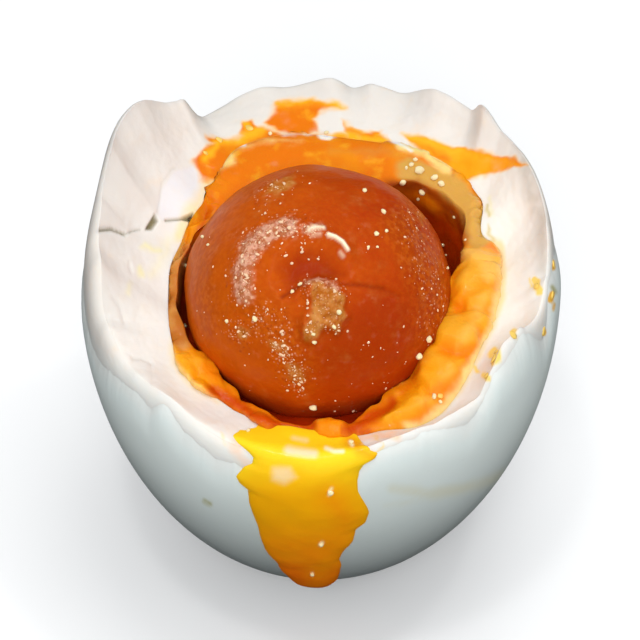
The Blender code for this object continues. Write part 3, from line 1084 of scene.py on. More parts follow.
@dataclass
class White:
    """The set white, a thick cup broken open above, with its flake, cracks and stains."""

    columns: int = 620
    outside_rings: int = 40
    face_rings: int = 92
    hollow_rings: int = 24
    outside_share: float = 0.22
    face_share: float = 0.86
    fade_reach: float = 2.4 * MM
    behind_start: float = -1 * MM
    behind_reach: float = 8 * MM
    # Relief in millimetres.
    rough: Layers = ((0.30, 4.5, 0.0), (0.07, 1.7, 2.0), (0.035, 0.6, 4.0))
    ledge_calm: float = 0.6
    crack_depth: float = 0.7
    seam_depth: float = 0.14
    ledge_depth: float = 0.12
    fold_depth: float = 0.30
    # How far the outlines of the stains and of the painted light and shade wander, in pixels.
    wobble: float = 4.0
    cracks: Marks = (
        Mark(((92, 233), (100, 230), (112, 229), (125, 234)), 0.8, 3.5),
        Mark(((125, 234), (134, 230), (141, 229)), 0.2, 2.6, 0.7),
        Mark(((146, 229), (155, 215), (158, 221), (152, 229)), soft=3.5, area=True),
        Mark(((166, 220), (180, 219), (186, 216)), 0.6, 3, 0.9),
        Mark(((180, 219), (192, 212), (193, 225), (188, 221)), soft=3, strength=1.0, area=True),
    )
    # Soft folds, sunk into the face and painted darker as the shade in them.
    folds: Marks = (
        Mark(((113, 298), (119, 306), (124, 322)), 0.5, 9, 0.8),
        Mark(((106, 312), (108, 326)), 0.5, 9, 0.4),
        Mark(((133, 358), (142, 358), (151, 363)), 0.8, 8),
        Mark(((151, 366), (152, 380), (148, 394)), 0.5, 10, 0.4),
        Mark(((128, 262), (130, 272)), 0.4, 6, 0.5),
    )
    ledges: Marks = (
        Mark(((174, 171), (200, 164), (216, 168), (222, 180), (200, 205), (188, 214), (160, 219),
              (158, 205), (163, 188)), soft=5, area=True),
    )
    seams: Marks = (
        Mark(((172, 170), (162, 184), (160, 202), (156, 221)), 0.3, 5, 0.7),
        Mark(((171, 170), (176, 167)), 0.6, 3, 0.8),
    )
    films: Marks = (
        Mark(((266, 124), (272, 110), (274, 100), (286, 96), (312, 100), (336, 103), (344, 108),
              (322, 111), (313, 118), (318, 132), (300, 136), (276, 130)), soft=13, area=True),
        Mark(((342, 122), (356, 127), (382, 133), (384, 137), (366, 142), (342, 136)),
             soft=10, area=True),
        Mark(((402, 134), (420, 135), (448, 146), (490, 152), (514, 158), (527, 165), (506, 171),
              (478, 177), (462, 181), (448, 172), (425, 156)), soft=9, area=True),
        Mark(((200, 180), (192, 160), (206, 146), (216, 140), (240, 134), (258, 128), (300, 134),
              (345, 133), (400, 146), (440, 164), (400, 190), (320, 170), (240, 185)), soft=14, area=True),
        Mark(((242, 124), (252, 122), (262, 134), (250, 142), (238, 136)), soft=8, area=True),
        Mark(((340, 122), (352, 126), (386, 137), (400, 148), (370, 150), (344, 140)), soft=9, area=True),
        Mark(((210, 140), (226, 142)), 4, 9, 0.9),
    )
    golds: Marks = (
        Mark(((278, 100), (312, 98), (340, 105)), 5, 12),
        Mark(((346, 124), (364, 130)), 4, 8, 0.8),
        Mark(((404, 134), (424, 141), (446, 150), (470, 154)), 4, 12),
        Mark(((206, 160), (216, 144), (240, 138), (262, 133)), 4, 10),
        Mark(((330, 133), (400, 144), (440, 165)), 4, 10),
        Mark(((246, 124), (249, 130)), 3, 6),
    )
    wedges: Marks = (
        Mark(((448, 152), (490, 152), (527, 165), (506, 171), (478, 180), (458, 180), (444, 168)),
             soft=10, area=True),
    )
    yellows: Marks = (
        Mark(((512, 331), (514, 337)), 3, 7, 0.9),
        Mark(((494, 352), (496, 360)), 5, 8),
        Mark(((484, 374), (487, 379)), 4, 8, 0.9),
        Mark(((473, 366), (477, 371)), 2, 7, 0.8),
        Mark(((468, 352), (480, 340), (487, 310)), 3, 14, 0.6),
        Mark(((456, 388), (440, 400), (420, 414)), 2, 12, 0.5),
        Mark(((535, 282), (538, 291)), 3.5, 6),
        Mark(((529, 279), (531, 285)), 2, 6, 0.8),
        Mark(((375, 436), (385, 448), (372, 458)), 2, 6, 0.6),
        Mark(((378, 456), (392, 450)), 1, 8, 0.5),
        Mark(((222, 432), (226, 446)), 2, 10, 0.5),
        Mark(((224, 470), (230, 478)), 2, 8, 0.5),
    )
    olives: Marks = (
        Mark(((485, 208), (489, 216)), 1.4, 4, 0.7),
        Mark(((490, 228), (491, 240)), 1.4, 4, 0.7),
        Mark(((488, 322), (491, 330)), 0.8, 3, 0.5),
    )
    fringes: Marks = (
        Mark(((500, 250), (500, 285), (484, 320), (466, 356), (448, 388), (420, 415)), 14, 20),
        Mark(((214, 160), (196, 190), (184, 230)), 14, 20, 0.8),
        Mark(((175, 345), (186, 384), (214, 400)), 8, 16, 0.7),
    )
    limes: Marks = (
        Mark(((143, 247), (157, 250)), 2.5, 10, 0.6),
        Mark(((139, 270), (142, 277)), 2.5, 9, 0.6),
        Mark(((127, 284), (128, 294)), 1.5, 9, 0.4),
        Mark(((168, 238), (160, 262), (152, 275)), 2, 18, 0.35),
        Mark(((489, 200), (491, 215)), 1.5, 8, 0.5),
    )
    peaches: Marks = (
        Mark(((362, 437), (378, 433), (398, 437)), 5, 10, 0.7),
        Mark(((232, 444), (240, 454), (246, 462)), 6, 12, 0.5),
    )
    # Painted shade along the right rim, where the white's outside turns away from the light.
    right_rim_shades: Marks = (
        Mark(((522, 160), (528, 180), (532, 200)), 3, 16, 0.8),
        Mark(((538, 212), (543, 240), (543, 270)), 3, 16, 0.7),
    )
    # Painted light: the right of the face and a patch beside the run's top are painted brighter.
    painted_lights: Marks = (
        Mark(((505, 190), (508, 250), (500, 310)), 26, 50),
        Mark(((362, 440), (384, 438), (410, 432)), 8, 16, 0.8),
    )
    # Painted shade: the left and the back of the face are painted darker.
    painted_shades: Marks = (
        Mark(((120, 130), (85, 200), (85, 290)), 50, 90),
        Mark(((200, 110), (300, 85), (400, 90), (480, 130)), 24, 60, 0.8),
    )

    def shares(self, share: Array) -> tuple[Array, Array, Array]:
        """How far up the outside, over the face and down the hollow each share is, from 0 to 1."""
        up = np.clip(share / self.outside_share, 0, 1)
        over = np.clip((share - self.outside_share) / (self.face_share - self.outside_share), 0, 1)
        down = np.clip((share - self.face_share) / (1 - self.face_share), 0, 1)
        return up, over, down

    def place(self, azimuth: Array, share: Array) -> Array:
        """The white's points: up the outside, over the broken face, down the hollow.

        Args:
            azimuth: angles in radians.
            share: 0 under the egg, 1 at the bottom of the hollow.

        Returns:
            Points in metres.
        """
        crest = FORM.crest(azimuth)
        up, over, down = self.shares(share)
        outside = FORM.wall(azimuth, up, crest, FORM.white_inset, leans=True)
        face = FORM.face(azimuth, over, crest)
        hollow = FORM.hollow(azimuth, down, 0.0, 0.0)
        points = np.where((share <= self.outside_share)[..., None], outside, face)
        points = FORM.rounded(points, azimuth, crest)
        return np.where((share > self.face_share)[..., None], hollow, points)

    def build(self) -> Piece:
        """Make the white, roughen its face and paint its marks.

        Returns:
            The finished piece.
        """
        rings = np.concatenate([
            self.outside_share * (1 - (1 - np.linspace(0, 1, self.outside_rings)) ** 2),
            np.linspace(self.outside_share, self.face_share, self.face_rings)[1:],
            np.linspace(self.face_share, 1, self.hollow_rings)[1:],
        ])
        white = turned_mesh("egg_white", self.columns, rings, self.place)
        over = self.shares(rings[1:-1])[1]
        points, out = points_of(white), normals_of(white)
        shown = turned_to_view(out, -0.1, 0.3)
        facing = shown * by_ring(over > 0, self.columns)
        cracks, seams, ledges = (
            covered(points, marks) * facing for marks in (self.cracks, self.seams, self.ledges)
        )
        folds = covered(points, self.folds, 1.0) * facing
        relief = layered(points, self.rough) * by_ring(np.sin(over * math.pi) ** 0.5, self.columns)
        relief = relief * (1 - self.ledge_calm * ledges)
        relief -= self.crack_depth * cracks + self.seam_depth * seams
        relief -= self.ledge_depth * ledges + self.fold_depth * folds
        move_points(white, points + out * (relief * MM)[:, None])
        self.paint_stains_and_shading(white, shown, facing)
        for name, cover in (("crack", cracks), ("seam", seams), ("fold_shade", folds), ("ledge", ledges)):
            paint(white, name, cover)
        paint(white, "across", by_ring(over, self.columns))
        carried(white, "white", self.finish())
        return white

    def paint_stains_and_shading(self, white: Piece, shown: Array, facing: Array) -> None:
        """Paint the white's stains, its painted light and shade, and where it lies near the shell.

        Args:
            white: the shaped piece.
            shown: how far each point faces the view.
            facing: the same, over the crest and inside it alone.
        """
        points = points_of(white)
        # The stains, and among them painted light on the right of the face and painted shade along its right
        # rim.
        for name, marks in (
            ("film", self.films),
            ("gold", self.golds),
            ("wedge", self.wedges),
            ("yellow", self.yellows),
            ("olive", self.olives),
            ("lime", self.limes),
            ("peach", self.peaches),
            ("right_rim_shade", self.right_rim_shades),
            ("painted_light", self.painted_lights),
        ):
            paint(white, name, covered(points, marks, self.wobble) * shown)
        # Painted shade on the face, over the crest and inside it.
        paint(white, "painted_shade", covered(points, self.painted_shades) * facing)
        paint(white, "fringe", covered(points, self.fringes))
        paint(white, "behind", eased((points[:, 1] - self.behind_start) / self.behind_reach))
        edge = around(azimuth_of(points), SHELL_EDGE_HEIGHTS)
        inwards = FORM.radius(edge, FORM.white_inset) - np.hypot(points[:, 0], points[:, 1])
        gap = np.hypot(inwards, points[:, 2] - FORM.waist - edge)
        paint(white, "near_shell", eased(1 - gap / self.fade_reach))

    def finish(self) -> bpy.types.Material:
        """Cooked egg white: ivory and moist, with oil soaked into it."""
        finish = Finish(
            "egg white", roughness=0.36, specular=0.35, scatter=0.3, scatter_depth=1.4 * MM,
            scatter_tint=(1.0, 0.85, 0.70),
        )
        recipe, shader, material = finish.start()
        colour = recipe.mix(clouded(recipe, 160.0, 0.3, 0.7), (0.80, 0.76, 0.70), (0.81, 0.755, 0.69))
        # Painted shade darkens the left and back; painted light brightens the right and beside the run.
        colour = stained(
            recipe, colour, Stain("painted_shade", (0.70, 0.66, 0.61)), Stain("painted_light", (0.90, 0.85, 0.77))
        )
        across = recipe.mask("across")
        # Painted shade: the outside of the crest at the back is painted grey where it turns from the light.
        crest = recipe.times(recipe.ramp(across, 0.10, 0.0), recipe.mask("behind"))
        colour = recipe.mix(recipe.times(crest, 0.7), colour, (0.64, 0.62, 0.59))
        colour = stained(
            recipe,
            colour,
            Stain("near_shell", (0.79, 0.785, 0.74), edge=(420.0, 0.7, 0.5)),
            # Painted shade along the right rim.
            Stain("right_rim_shade", (0.60, 0.55, 0.47)),
            Stain("ledge", (0.80, 0.78, 0.78)),
        )
        mouth = recipe.times(recipe.ramp(across, 0.74, 1.0), recipe.mask("fringe"))
        fringe = broken_up(recipe, mouth, (450.0, 0.9, 0.45))
        colour = recipe.mix(recipe.times(fringe, 0.8), colour, (0.96, 0.70, 0.30))
        oily = stained(
            recipe, soaked(recipe), Stain("wedge", (1.0, 0.36, 0.003)), Stain("gold", (1.0, 0.46, 0.012))
        )
        film_mask = recipe.mask("film")
        thin = recipe.ramp(film_mask, 0.85, 0.4)
        oily = recipe.mix(recipe.times(thin, 0.65), oily, (1.0, 0.60, 0.12))
        film = broken_up(recipe, film_mask, (420.0, 0.95, 0.45))
        colour = stained(
            recipe,
            colour,
            Stain("peach", (0.96, 0.62, 0.42), edge=(500.0, 0.6, 0.4)),
            Stain("yellow", (0.93, 0.66, 0.16), edge=(900.0, 0.7, 0.35)),
        )
        colour = stained(
            recipe,
            recipe.mix(film, colour, oily),
            Stain("lime", (0.88, 0.80, 0.30)),
            Stain("olive", (0.62, 0.50, 0.10)),
            # Painted shade in the folds.
            Stain("fold_shade", (0.66, 0.62, 0.58), 0.5),
            Stain("seam", (0.66, 0.62, 0.56)),
            Stain("crack", (0.30, 0.25, 0.13)),
        )
        recipe.feed(shader.inputs["Base Color"], colour)
        wet_roughness = 0.28
        recipe.feed(shader.inputs["Roughness"], recipe.ramp(film, 0.0, 1.0, finish.roughness, wet_roughness))
        finish.bump(recipe, shader, grained(recipe, 900.0, 0.35), 0.05 * MM, 0.6)
        return material


@dataclass
class Yolk:
    """The firm red yolk: a settled ball with a dimple, a ridge, a crease and a grainy skin."""

    columns: int = 400
    rings: int = 200
    # Relief in millimetres.
    dimple_depth: float = 0.95
    lump_height: float = 0.55
    ridge_height: float = 0.32
    crease_depth: float = 0.35
    arc_height: float = 0.22
    swell: Layers = ((0.22, 5.0, 0.0), (0.09, 2.0, 3.0))
    knobbly: Layers = ((0.20, 0.9, 4.0),)
    grit: Layers = ((1.0, 0.42, 1.0), (0.7, 0.22, 6.0))
    grit_least: float = 0.025
    grit_more: float = 0.10
    # Where the yolk's painted shade turns it from lighter to redder, in pixels from the left.
    side_shade_start: float = 200
    side_shade_reach: float = 230
    dimple: Marks = (
        Mark(((282, 262), (296, 250), (318, 248), (336, 258), (342, 276), (320, 284), (290, 292),
              (278, 280)), soft=26, area=True),
    )
    lump: Marks = (
        Mark(((304, 284), (318, 278), (334, 280), (343, 290), (341, 304), (345, 318), (338, 332),
              (324, 330), (312, 342), (302, 338), (300, 318), (308, 304)), soft=12, area=True),
    )
    ridge: Marks = (
        Mark(((246, 300), (242, 275), (250, 246), (266, 230)), 8, 22),
        Mark(((266, 230), (285, 222), (310, 228), (328, 234), (342, 242), (348, 252)), 5, 14),
        Mark(((300, 284), (315, 280), (335, 284)), 3, 8, 0.6),
        Mark(((262, 190), (276, 182), (294, 176)), 5, 12, 0.5),
    )
    # Arcs raised a little along the ridge, and painted pale as a highlight.
    arcs: Marks = (
        Mark(((328, 236), (335, 238), (342, 243), (347, 250)), 1.8, 3.5),
        Mark(((340, 252), (343, 256)), 1.2, 5, 0.5),
        Mark(((309, 232), (316, 229), (323, 229)), 1.8, 5, 0.9),
        Mark(((312, 236), (320, 235)), 1.0, 5, 0.5),
    )
    crease: Marks = (
        Mark(((342, 283), (360, 285), (382, 289), (402, 297)), 0.8, 10),
        Mark(((282, 296), (292, 289), (300, 284), (312, 278)), 1.2, 8, 0.7),
        Mark(((402, 297), (436, 295)), 0.3, 9, 0.5),
    )
    grains: Marks = (
        Mark(((244, 296), (241, 272), (250, 246), (266, 230), (296, 224)), 11, 20),
        Mark(((240, 330), (262, 318), (285, 345), (298, 378)), 13, 24),
        Mark(((258, 205), (272, 190)), 6, 18, 0.6),
        Mark(((306, 232), (324, 230)), 6, 12),
        Mark(((306, 290), (330, 292), (328, 320)), 14, 16, 0.9),
        Mark(((412, 215), (425, 250), (432, 290), (428, 325)), 12, 34, 0.6),
    )
    tans: Marks = (
        Mark(((264, 197), (272, 186), (284, 178), (296, 176), (292, 186), (276, 196)), soft=9,
             strength=0.9, area=True),
        Mark(((412, 208), (422, 213), (427, 224), (418, 222)), soft=9, strength=0.85, area=True),
        Mark(((312, 282), (324, 286), (334, 290), (342, 296), (342, 316), (338, 332), (326, 326),
              (318, 336), (304, 344), (304, 328), (312, 318), (308, 304)), soft=9, area=True),
        Mark(((234, 326), (250, 330), (246, 340), (236, 338)), soft=8, strength=0.7, area=True),
        Mark(((268, 340), (284, 336), (292, 352), (282, 358), (272, 352)), soft=9, strength=0.7, area=True),
        Mark(((284, 362), (298, 360), (304, 378), (298, 388), (288, 378)), soft=8, strength=0.6, area=True),
    )
    # The pinkish grain band along the ridge, with a painted sheen over it.
    pink_grains_and_sheens: Marks = (
        Mark(((246, 296), (242, 272), (252, 248), (270, 232), (290, 228)), 9, 14),
        Mark(((304, 230), (322, 226)), 4, 10, 0.6),
        Mark(((308, 282), (326, 282), (336, 290)), 4, 8, 0.8),
    )
    browns: Marks = (
        Mark(((236, 190), (212, 225), (200, 270), (205, 320)), 12, 34, 0.5),
        Mark(((404, 226), (424, 260), (434, 300), (430, 330)), 20, 30, 0.8),
        Mark(((264, 316), (286, 336), (300, 362)), 18, 26, 0.5),
    )
    # Painted shade: dark lines in the fold under the ridge and in the crease.
    crease_shades: Marks = (
        Mark(((281, 297), (290, 290), (300, 285), (310, 280)), 0.9, 6, 0.65),
        Mark(((302, 282), (316, 275), (332, 276)), 1.0, 12, 0.35),
        Mark(((346, 284), (364, 285), (384, 288)), 0.3, 6, 0.6),
    )
    # Darker red in the dimple, the crease and along the bottom: partly the yolk's deeper red, partly painted
    # shade.
    deep_reds_and_shades: Marks = (
        Mark(((280, 266), (296, 252), (322, 254), (342, 270), (330, 278), (306, 280), (290, 292)),
             soft=24, area=True),
        Mark(((350, 300), (420, 305), (410, 360), (370, 400), (325, 410), (312, 350)), soft=50,
             strength=0.65, area=True),
        Mark(((222, 382), (250, 404), (290, 420), (330, 422), (390, 404), (432, 350)), 8, 32),
    )

    def place(self, azimuth: Array, share: Array) -> Array:
        """The smooth yolk's points.

        Args:
            azimuth: angles in radians, round the yolk's centre.
            share: 0 under the yolk, 1 on top.

        Returns:
            Points in metres.
        """
        tilt = (share - 0.5) * math.pi
        flat = np.cos(tilt) * YOLK_RADIUS
        return joined(
            YOLK_CENTRE.x + flat * np.cos(azimuth),
            YOLK_CENTRE.y + flat * np.sin(azimuth),
            YOLK_CENTRE.z + FORM.waist + YOLK_HALF_HEIGHT * np.sin(tilt),
        )

    def build(self) -> Piece:
        """Make the yolk, shape its skin and paint its marks.

        Returns:
            The finished piece.
        """
        yolk = turned_mesh("egg_yolk", self.columns, np.linspace(0, 1, self.rings), self.place)
        points, out = points_of(yolk), normals_of(yolk)
        facing = turned_to_view(out, 0.05, 0.3)
        dimple, ridge, crease, grains, arcs = (
            covered(points, marks) * facing
            for marks in (self.dimple, self.ridge, self.crease, self.grains, self.arcs)
        )
        lump = covered(points, self.lump, 4.0) * facing
        relief = self.lump_height * lump - self.dimple_depth * dimple + self.ridge_height * ridge
        relief += self.arc_height * arcs - self.crease_depth * crease
        relief += layered(points, self.swell) + lump * layered(points, self.knobbly)
        relief += (self.grit_least + self.grit_more * (grains + lump)) * layered(points, self.grit)
        move_points(yolk, points + out * (relief * MM)[:, None])
        for name, cover in (
            ("grains", grains),
            ("arc_highlight", arcs),
            ("tan", covered(points, self.tans, 5.0) * facing),
            ("pink_grain_and_sheen", covered(points, self.pink_grains_and_sheens, 3.0) * facing),
            ("brown", covered(points, self.browns, 3.0)),
            ("crease_shade", covered(points, self.crease_shades, 1.0) * facing),
            ("deep", np.maximum(covered(points, self.deep_reds_and_shades, 4.0) * facing, crease)),
            ("side", eased((VIEW.pixels(points)[0] - self.side_shade_start) / self.side_shade_reach)),
        ):
            paint(yolk, name, cover)
        carried(yolk, "yolk", self.finish())
        return yolk

    def finish(self) -> bpy.types.Material:
        """Salted yolk: red-orange and grainy, under a film of its own oil."""
        finish = Finish(
            "salted yolk", roughness=0.34, specular=0.08, scatter=0.15,
            scatter_depth=1.2 * MM, scatter_tint=(1.0, 0.25, 0.05),
        )
        recipe, shader, material = finish.start()
        cloud, mottle, fine = (
            clouded(recipe, *ends) for ends in ((170.0, 0.3, 0.7), (700.0, 0.4, 0.7), (1800.0, 0.42, 0.62))
        )
        # Painted light and shade: lighter on the lit left, darker red on the shaded right.
        colour = recipe.mix(recipe.mask("side"), (0.54, 0.084, 0.001), (0.39, 0.021, 0.001))
        colour = recipe.mix(recipe.times(cloud, 0.35), colour, (0.58, 0.10, 0.001))
        colour = recipe.mix(recipe.times(mottle, 0.3), colour, (0.38, 0.045, 0.001))
        brown = recipe.mix(fine, (0.34, 0.055, 0.001), (0.52, 0.12, 0.004))
        colour = recipe.mix(recipe.maths("MULTIPLY_ADD", recipe.mask("brown"), 0.5, 0.12), colour, brown)
        # Painted sheen over the pinkish grain.
        sheen = recipe.mix(fine, (0.42, 0.14, 0.06), (0.70, 0.38, 0.26))
        crumb = recipe.mix(mottle, (0.40, 0.13, 0.010), (0.60, 0.27, 0.06))
        crumb = recipe.mix(recipe.times(fine, 0.4), crumb, (0.66, 0.36, 0.12))
        colour = stained(
            recipe,
            colour,
            # Painted shade over deeper red in the dimple, the crease and along the bottom.
            Stain("deep", (0.34, 0.028, 0.001)),
            # Painted shade in the fold and the crease.
            Stain("crease_shade", (0.14, 0.012, 0.001)),
            Stain("pink_grain_and_sheen", sheen, 0.85, (900.0, 0.9, 0.45)),
            Stain("tan", crumb, 0.75, (500.0, 1.3, 0.45)),
        )
        grains = recipe.mask("grains")
        # Pale specks in the grainy zones: the grain's own pale specks and painted glints.
        specks_and_glints = specked(recipe, grains, 4200.0, 0.6, 0.9)
        colour = recipe.mix(recipe.times(specks_and_glints, 0.5), colour, (0.88, 0.52, 0.32))
        pits = specked(recipe, grains, 3100.0, 0.5, 0.9)
        colour = recipe.mix(recipe.times(pits, 0.6), colour, (0.30, 0.04, 0.005))
        # Painted highlight along the ridge's arc.
        colour = stained(recipe, colour, Stain("arc_highlight", (1.0, 0.86, 0.62)))
        recipe.feed(shader.inputs["Base Color"], colour)
        depth = recipe.maths("MULTIPLY_ADD", grains, 0.9, 0.1)
        finish.bump(recipe, shader, recipe.times(grained(recipe, 2200.0, 0.6), depth), 0.10 * MM, 0.7)
        return material


@dataclass
class Curd:
    """The soft outer yolk that lines the hollow, thick and lumpy at its edge."""

    columns: int = 700
    back_rings: int = 12
    top_rings: int = 44
    wall_rings: int = 60
    outside_share: float = 0.2
    edge_share: float = 0.62
    gap: float = 0.3 * MM
    back_gap: float = 0.05 * MM
    floor: float = 1.2 * MM
    # How unevenly the curd reaches the yolk and spills over the white, as shares.
    reach_uneven: Layers = ((0.20, 0.16, 2.0), (0.03, 0.05, 4.0))
    spill_uneven: Layers = ((0.07, 0.16, 5.0), (0.049, 0.06, 9.0), (0.035, 0.03, 6.0))
    # How far its outer edge is sunk in the white, and how much less where it is flush.
    sunk: float = 0.36 * MM
    flush_rise: float = 0.65
    # Where it stands back from the mouth: how fast it nears the yolk, and how deep it sinks there.
    back_speed: float = 4.0
    back_most: float = 0.8
    back_slope: float = 12 * MM
    back_limit: float = 0.1
    crown: float = 0.75 * MM
    steep: float = 0.6
    flush: float = 1.7
    # Relief in millimetres.
    bend: float = 0.5
    bend_size: float = 1.6
    coarse_height: float = 0.5
    coarse_size: float = 5.6
    small_height: float = 0.22
    small_size: float = 2.4
    mound_height: float = 0.9
    skin: Layers = ((0.02, 0.5, 0.0),)
    swell: Layers = ((0.35, 3.4, 8.0), (0.06, 1.2, 9.0))
    calm: float = 0.85
    wet_calm: float = 0.7
    # How far in from its outer edge the relief and the pale rim reach, as shares.
    edge_fade: float = 0.06
    rim_start: float = -0.03
    rim_share: float = 0.13
    # How far under the mouth's edge the wall turns red.
    low_start: float = 0.8 * MM
    low_reach: float = 3.5 * MM
    mounds: Marks = (
        Mark(((464, 252), (484, 252), (498, 262), (498, 285), (488, 303), (468, 308), (454, 300),
              (458, 275)), soft=20, area=True),
        Mark(((448, 314), (468, 314), (484, 318), (476, 342), (456, 352), (438, 344), (434, 332)),
             soft=18, area=True),
        Mark(((428, 346), (448, 356), (464, 360), (450, 386), (430, 394), (416, 378), (418, 360)),
             soft=18, area=True),
        Mark(((406, 398), (420, 388), (438, 396), (424, 412), (400, 422), (386, 420)), soft=16, area=True),
        Mark(((316, 424), (330, 420), (344, 424), (346, 436), (330, 441), (316, 437)), soft=12,
             strength=0.8, area=True),
        Mark(((174, 346), (184, 356), (192, 372), (190, 388), (180, 384), (173, 362)), soft=12, area=True),
        Mark(((192, 380), (204, 384), (216, 396), (206, 402), (194, 396)), soft=10, area=True),
        Mark(((244, 412), (258, 414), (276, 424), (270, 432), (252, 426)), soft=10, strength=0.7, area=True),
    )
    # Darker red where the curd meets the yolk: partly the oil's red, partly painted shade in the gaps.
    reds: Marks = (
        Mark(((214, 390), (232, 402), (250, 413), (274, 424), (300, 427), (312, 425)), 6, 12),
        Mark(((350, 430), (362, 422), (380, 410), (392, 402)), 7, 12),
        Mark(((352, 432), (368, 430)), 3, 12),
        Mark(((208, 214), (196, 240), (188, 252)), 4, 10, 0.7),
        Mark(((428, 350), (420, 372), (402, 392)), 4, 12, 0.6),
    )
    wets: Marks = (
        Mark(((200, 200), (235, 165), (300, 155), (360, 160), (400, 172)), 26, 20),
        Mark(((425, 175), (455, 200), (472, 232)), 12, 14),
        Mark(((186, 245), (195, 210), (215, 190)), 14, 12, 0.8),
    )
    ambers: Marks = (
        Mark(((180, 248), (192, 214), (215, 188)), 9, 12),
        Mark(((180, 352), (192, 375), (212, 392)), 11, 14, 0.6),
        Mark(((446, 300), (440, 330), (428, 350)), 6, 14, 0.7),
        Mark(((430, 372), (412, 392), (392, 410)), 12, 18, 0.6),
    )
    knobs: Marks = (
        Mark(((316, 424), (330, 421), (344, 425), (346, 436), (330, 440), (316, 436)), soft=11, area=True),
    )
    tans: Marks = (
        Mark(((408, 170), (442, 180), (467, 202), (478, 238)), 12, 12),
        Mark(((330, 150), (385, 152), (420, 162)), 4, 16, 0.4),
    )
    # Painted highlights on the pale tops of the right mounds.
    pales: Marks = (
        Mark(((466, 256), (482, 262), (490, 278)), 9, 18, 0.9),
        Mark(((484, 300), (470, 330), (458, 350)), 5, 14, 0.6),
        Mark(((452, 372), (440, 388), (420, 404)), 5, 16, 0.5),
        Mark(((186, 356), (196, 372)), 4, 10, 0.5),
    )
    creams: Marks = (
        Mark(((400, 146), (425, 153), (446, 166)), 5, 14),
        Mark(((204, 178), (216, 168), (232, 160)), 4, 14, 0.8),
        Mark(((232, 148), (268, 140), (300, 140)), 3, 12, 0.5),
        Mark(((324, 133), (330, 135)), 4, 6),
    )
    shades: Marks = (
        Mark(((388, 186), (416, 186), (438, 198), (455, 216), (462, 238), (460, 250)), 5, 12),
    )
    bares: Marks = (
        Mark(((274, 132), (300, 133), (345, 135)), 1.4, 6, 0.6),
        Mark(((314, 124), (340, 125), (338, 136), (326, 139), (316, 135)), soft=8, area=True),
        Mark(((386, 137), (398, 143), (412, 152)), 2.5, 7, 0.9),
        Mark(((222, 150), (232, 146), (244, 143)), 1.5, 6, 0.8),
    )
    rims: Marks = (
        Mark(((482, 240), (500, 262), (498, 290), (482, 325), (464, 362), (446, 392), (415, 416)),
             16, 10),
        Mark(((170, 345), (182, 380), (212, 400)), 12, 10, 0.8),
    )
    thins: Marks = (
        Mark(((186, 254), (174, 272), (171, 300), (176, 325), (180, 338)), 11, 10),
    )

    def inset(self, azimuth: Array) -> Array:
        """How far inside the mouth's edge the curd's inner wall stands."""
        uneven = 1 + layered(outwards(azimuth), self.reach_uneven, 1)
        return self.gap + FORM.yolk_gap(azimuth) * around(azimuth, CURD_REACHES, THOUSANDTH) * uneven

    def outer_edge(self, azimuth: Array, flush: Array, end: Array) -> Array:
        """Where the curd's top begins, out on the broken white.

        Args:
            azimuth: angles in radians.
            flush: 1 where the curd lies flush with the white, 0 where it stands up.
            end: where its top ends, at the yolk.

        Returns:
            Points in metres.
        """
        spill = around(azimuth, CURD_SPILLS, THOUSANDTH)
        spill = spill + layered(outwards(azimuth), self.spill_uneven, 1)
        start = FORM.face(azimuth, 1 - np.clip(spill, 0, 1), around(azimuth, CREST_HEIGHTS))
        start[..., 2] -= self.sunk * (1 - self.flush_rise * flush)
        nearer = np.clip(-spill * self.back_speed, 0, self.back_most)
        start = start + (end - start) * nearer[..., None]
        start[..., 2] += self.back_slope * np.clip(spill, -self.back_limit, 0)
        return start

    def place(self, azimuth: Array, share: Array) -> Array:
        """The curd's points: up its back, over its edge, down its inner wall.

        Args:
            azimuth: angles in radians.
            share: 0 at the bottom of its back, 1 at the bottom of its inner wall.

        Returns:
            Points in metres.
        """
        up = np.clip(1 - share / self.outside_share, 0, 1)
        down = np.clip((share - self.edge_share) / (1 - self.edge_share), 0, 1)
        over = np.clip((share - self.outside_share) / (self.edge_share - self.outside_share), 0, 1)
        floor = self.gap + self.floor
        inset = self.inset(azimuth)
        flush = around(azimuth, CURD_FLUSHES, 1)
        back = FORM.hollow(azimuth, up, self.back_gap, self.back_gap)
        front = FORM.hollow(azimuth, down, inset, floor)
        end = FORM.hollow(azimuth, np.zeros_like(share), inset, floor)
        start = self.outer_edge(azimuth, flush, end)
        top = start + (end - start) * over[..., None]
        crown = self.crown * around(azimuth, CURD_CROWNS, THOUSANDTH)
        top[..., 2] += crown * np.sin(over * math.pi) ** (self.steep + (self.flush - self.steep) * flush)
        points = np.where((share <= self.outside_share)[..., None], back, top)
        return np.where((share >= self.edge_share)[..., None], front, points)

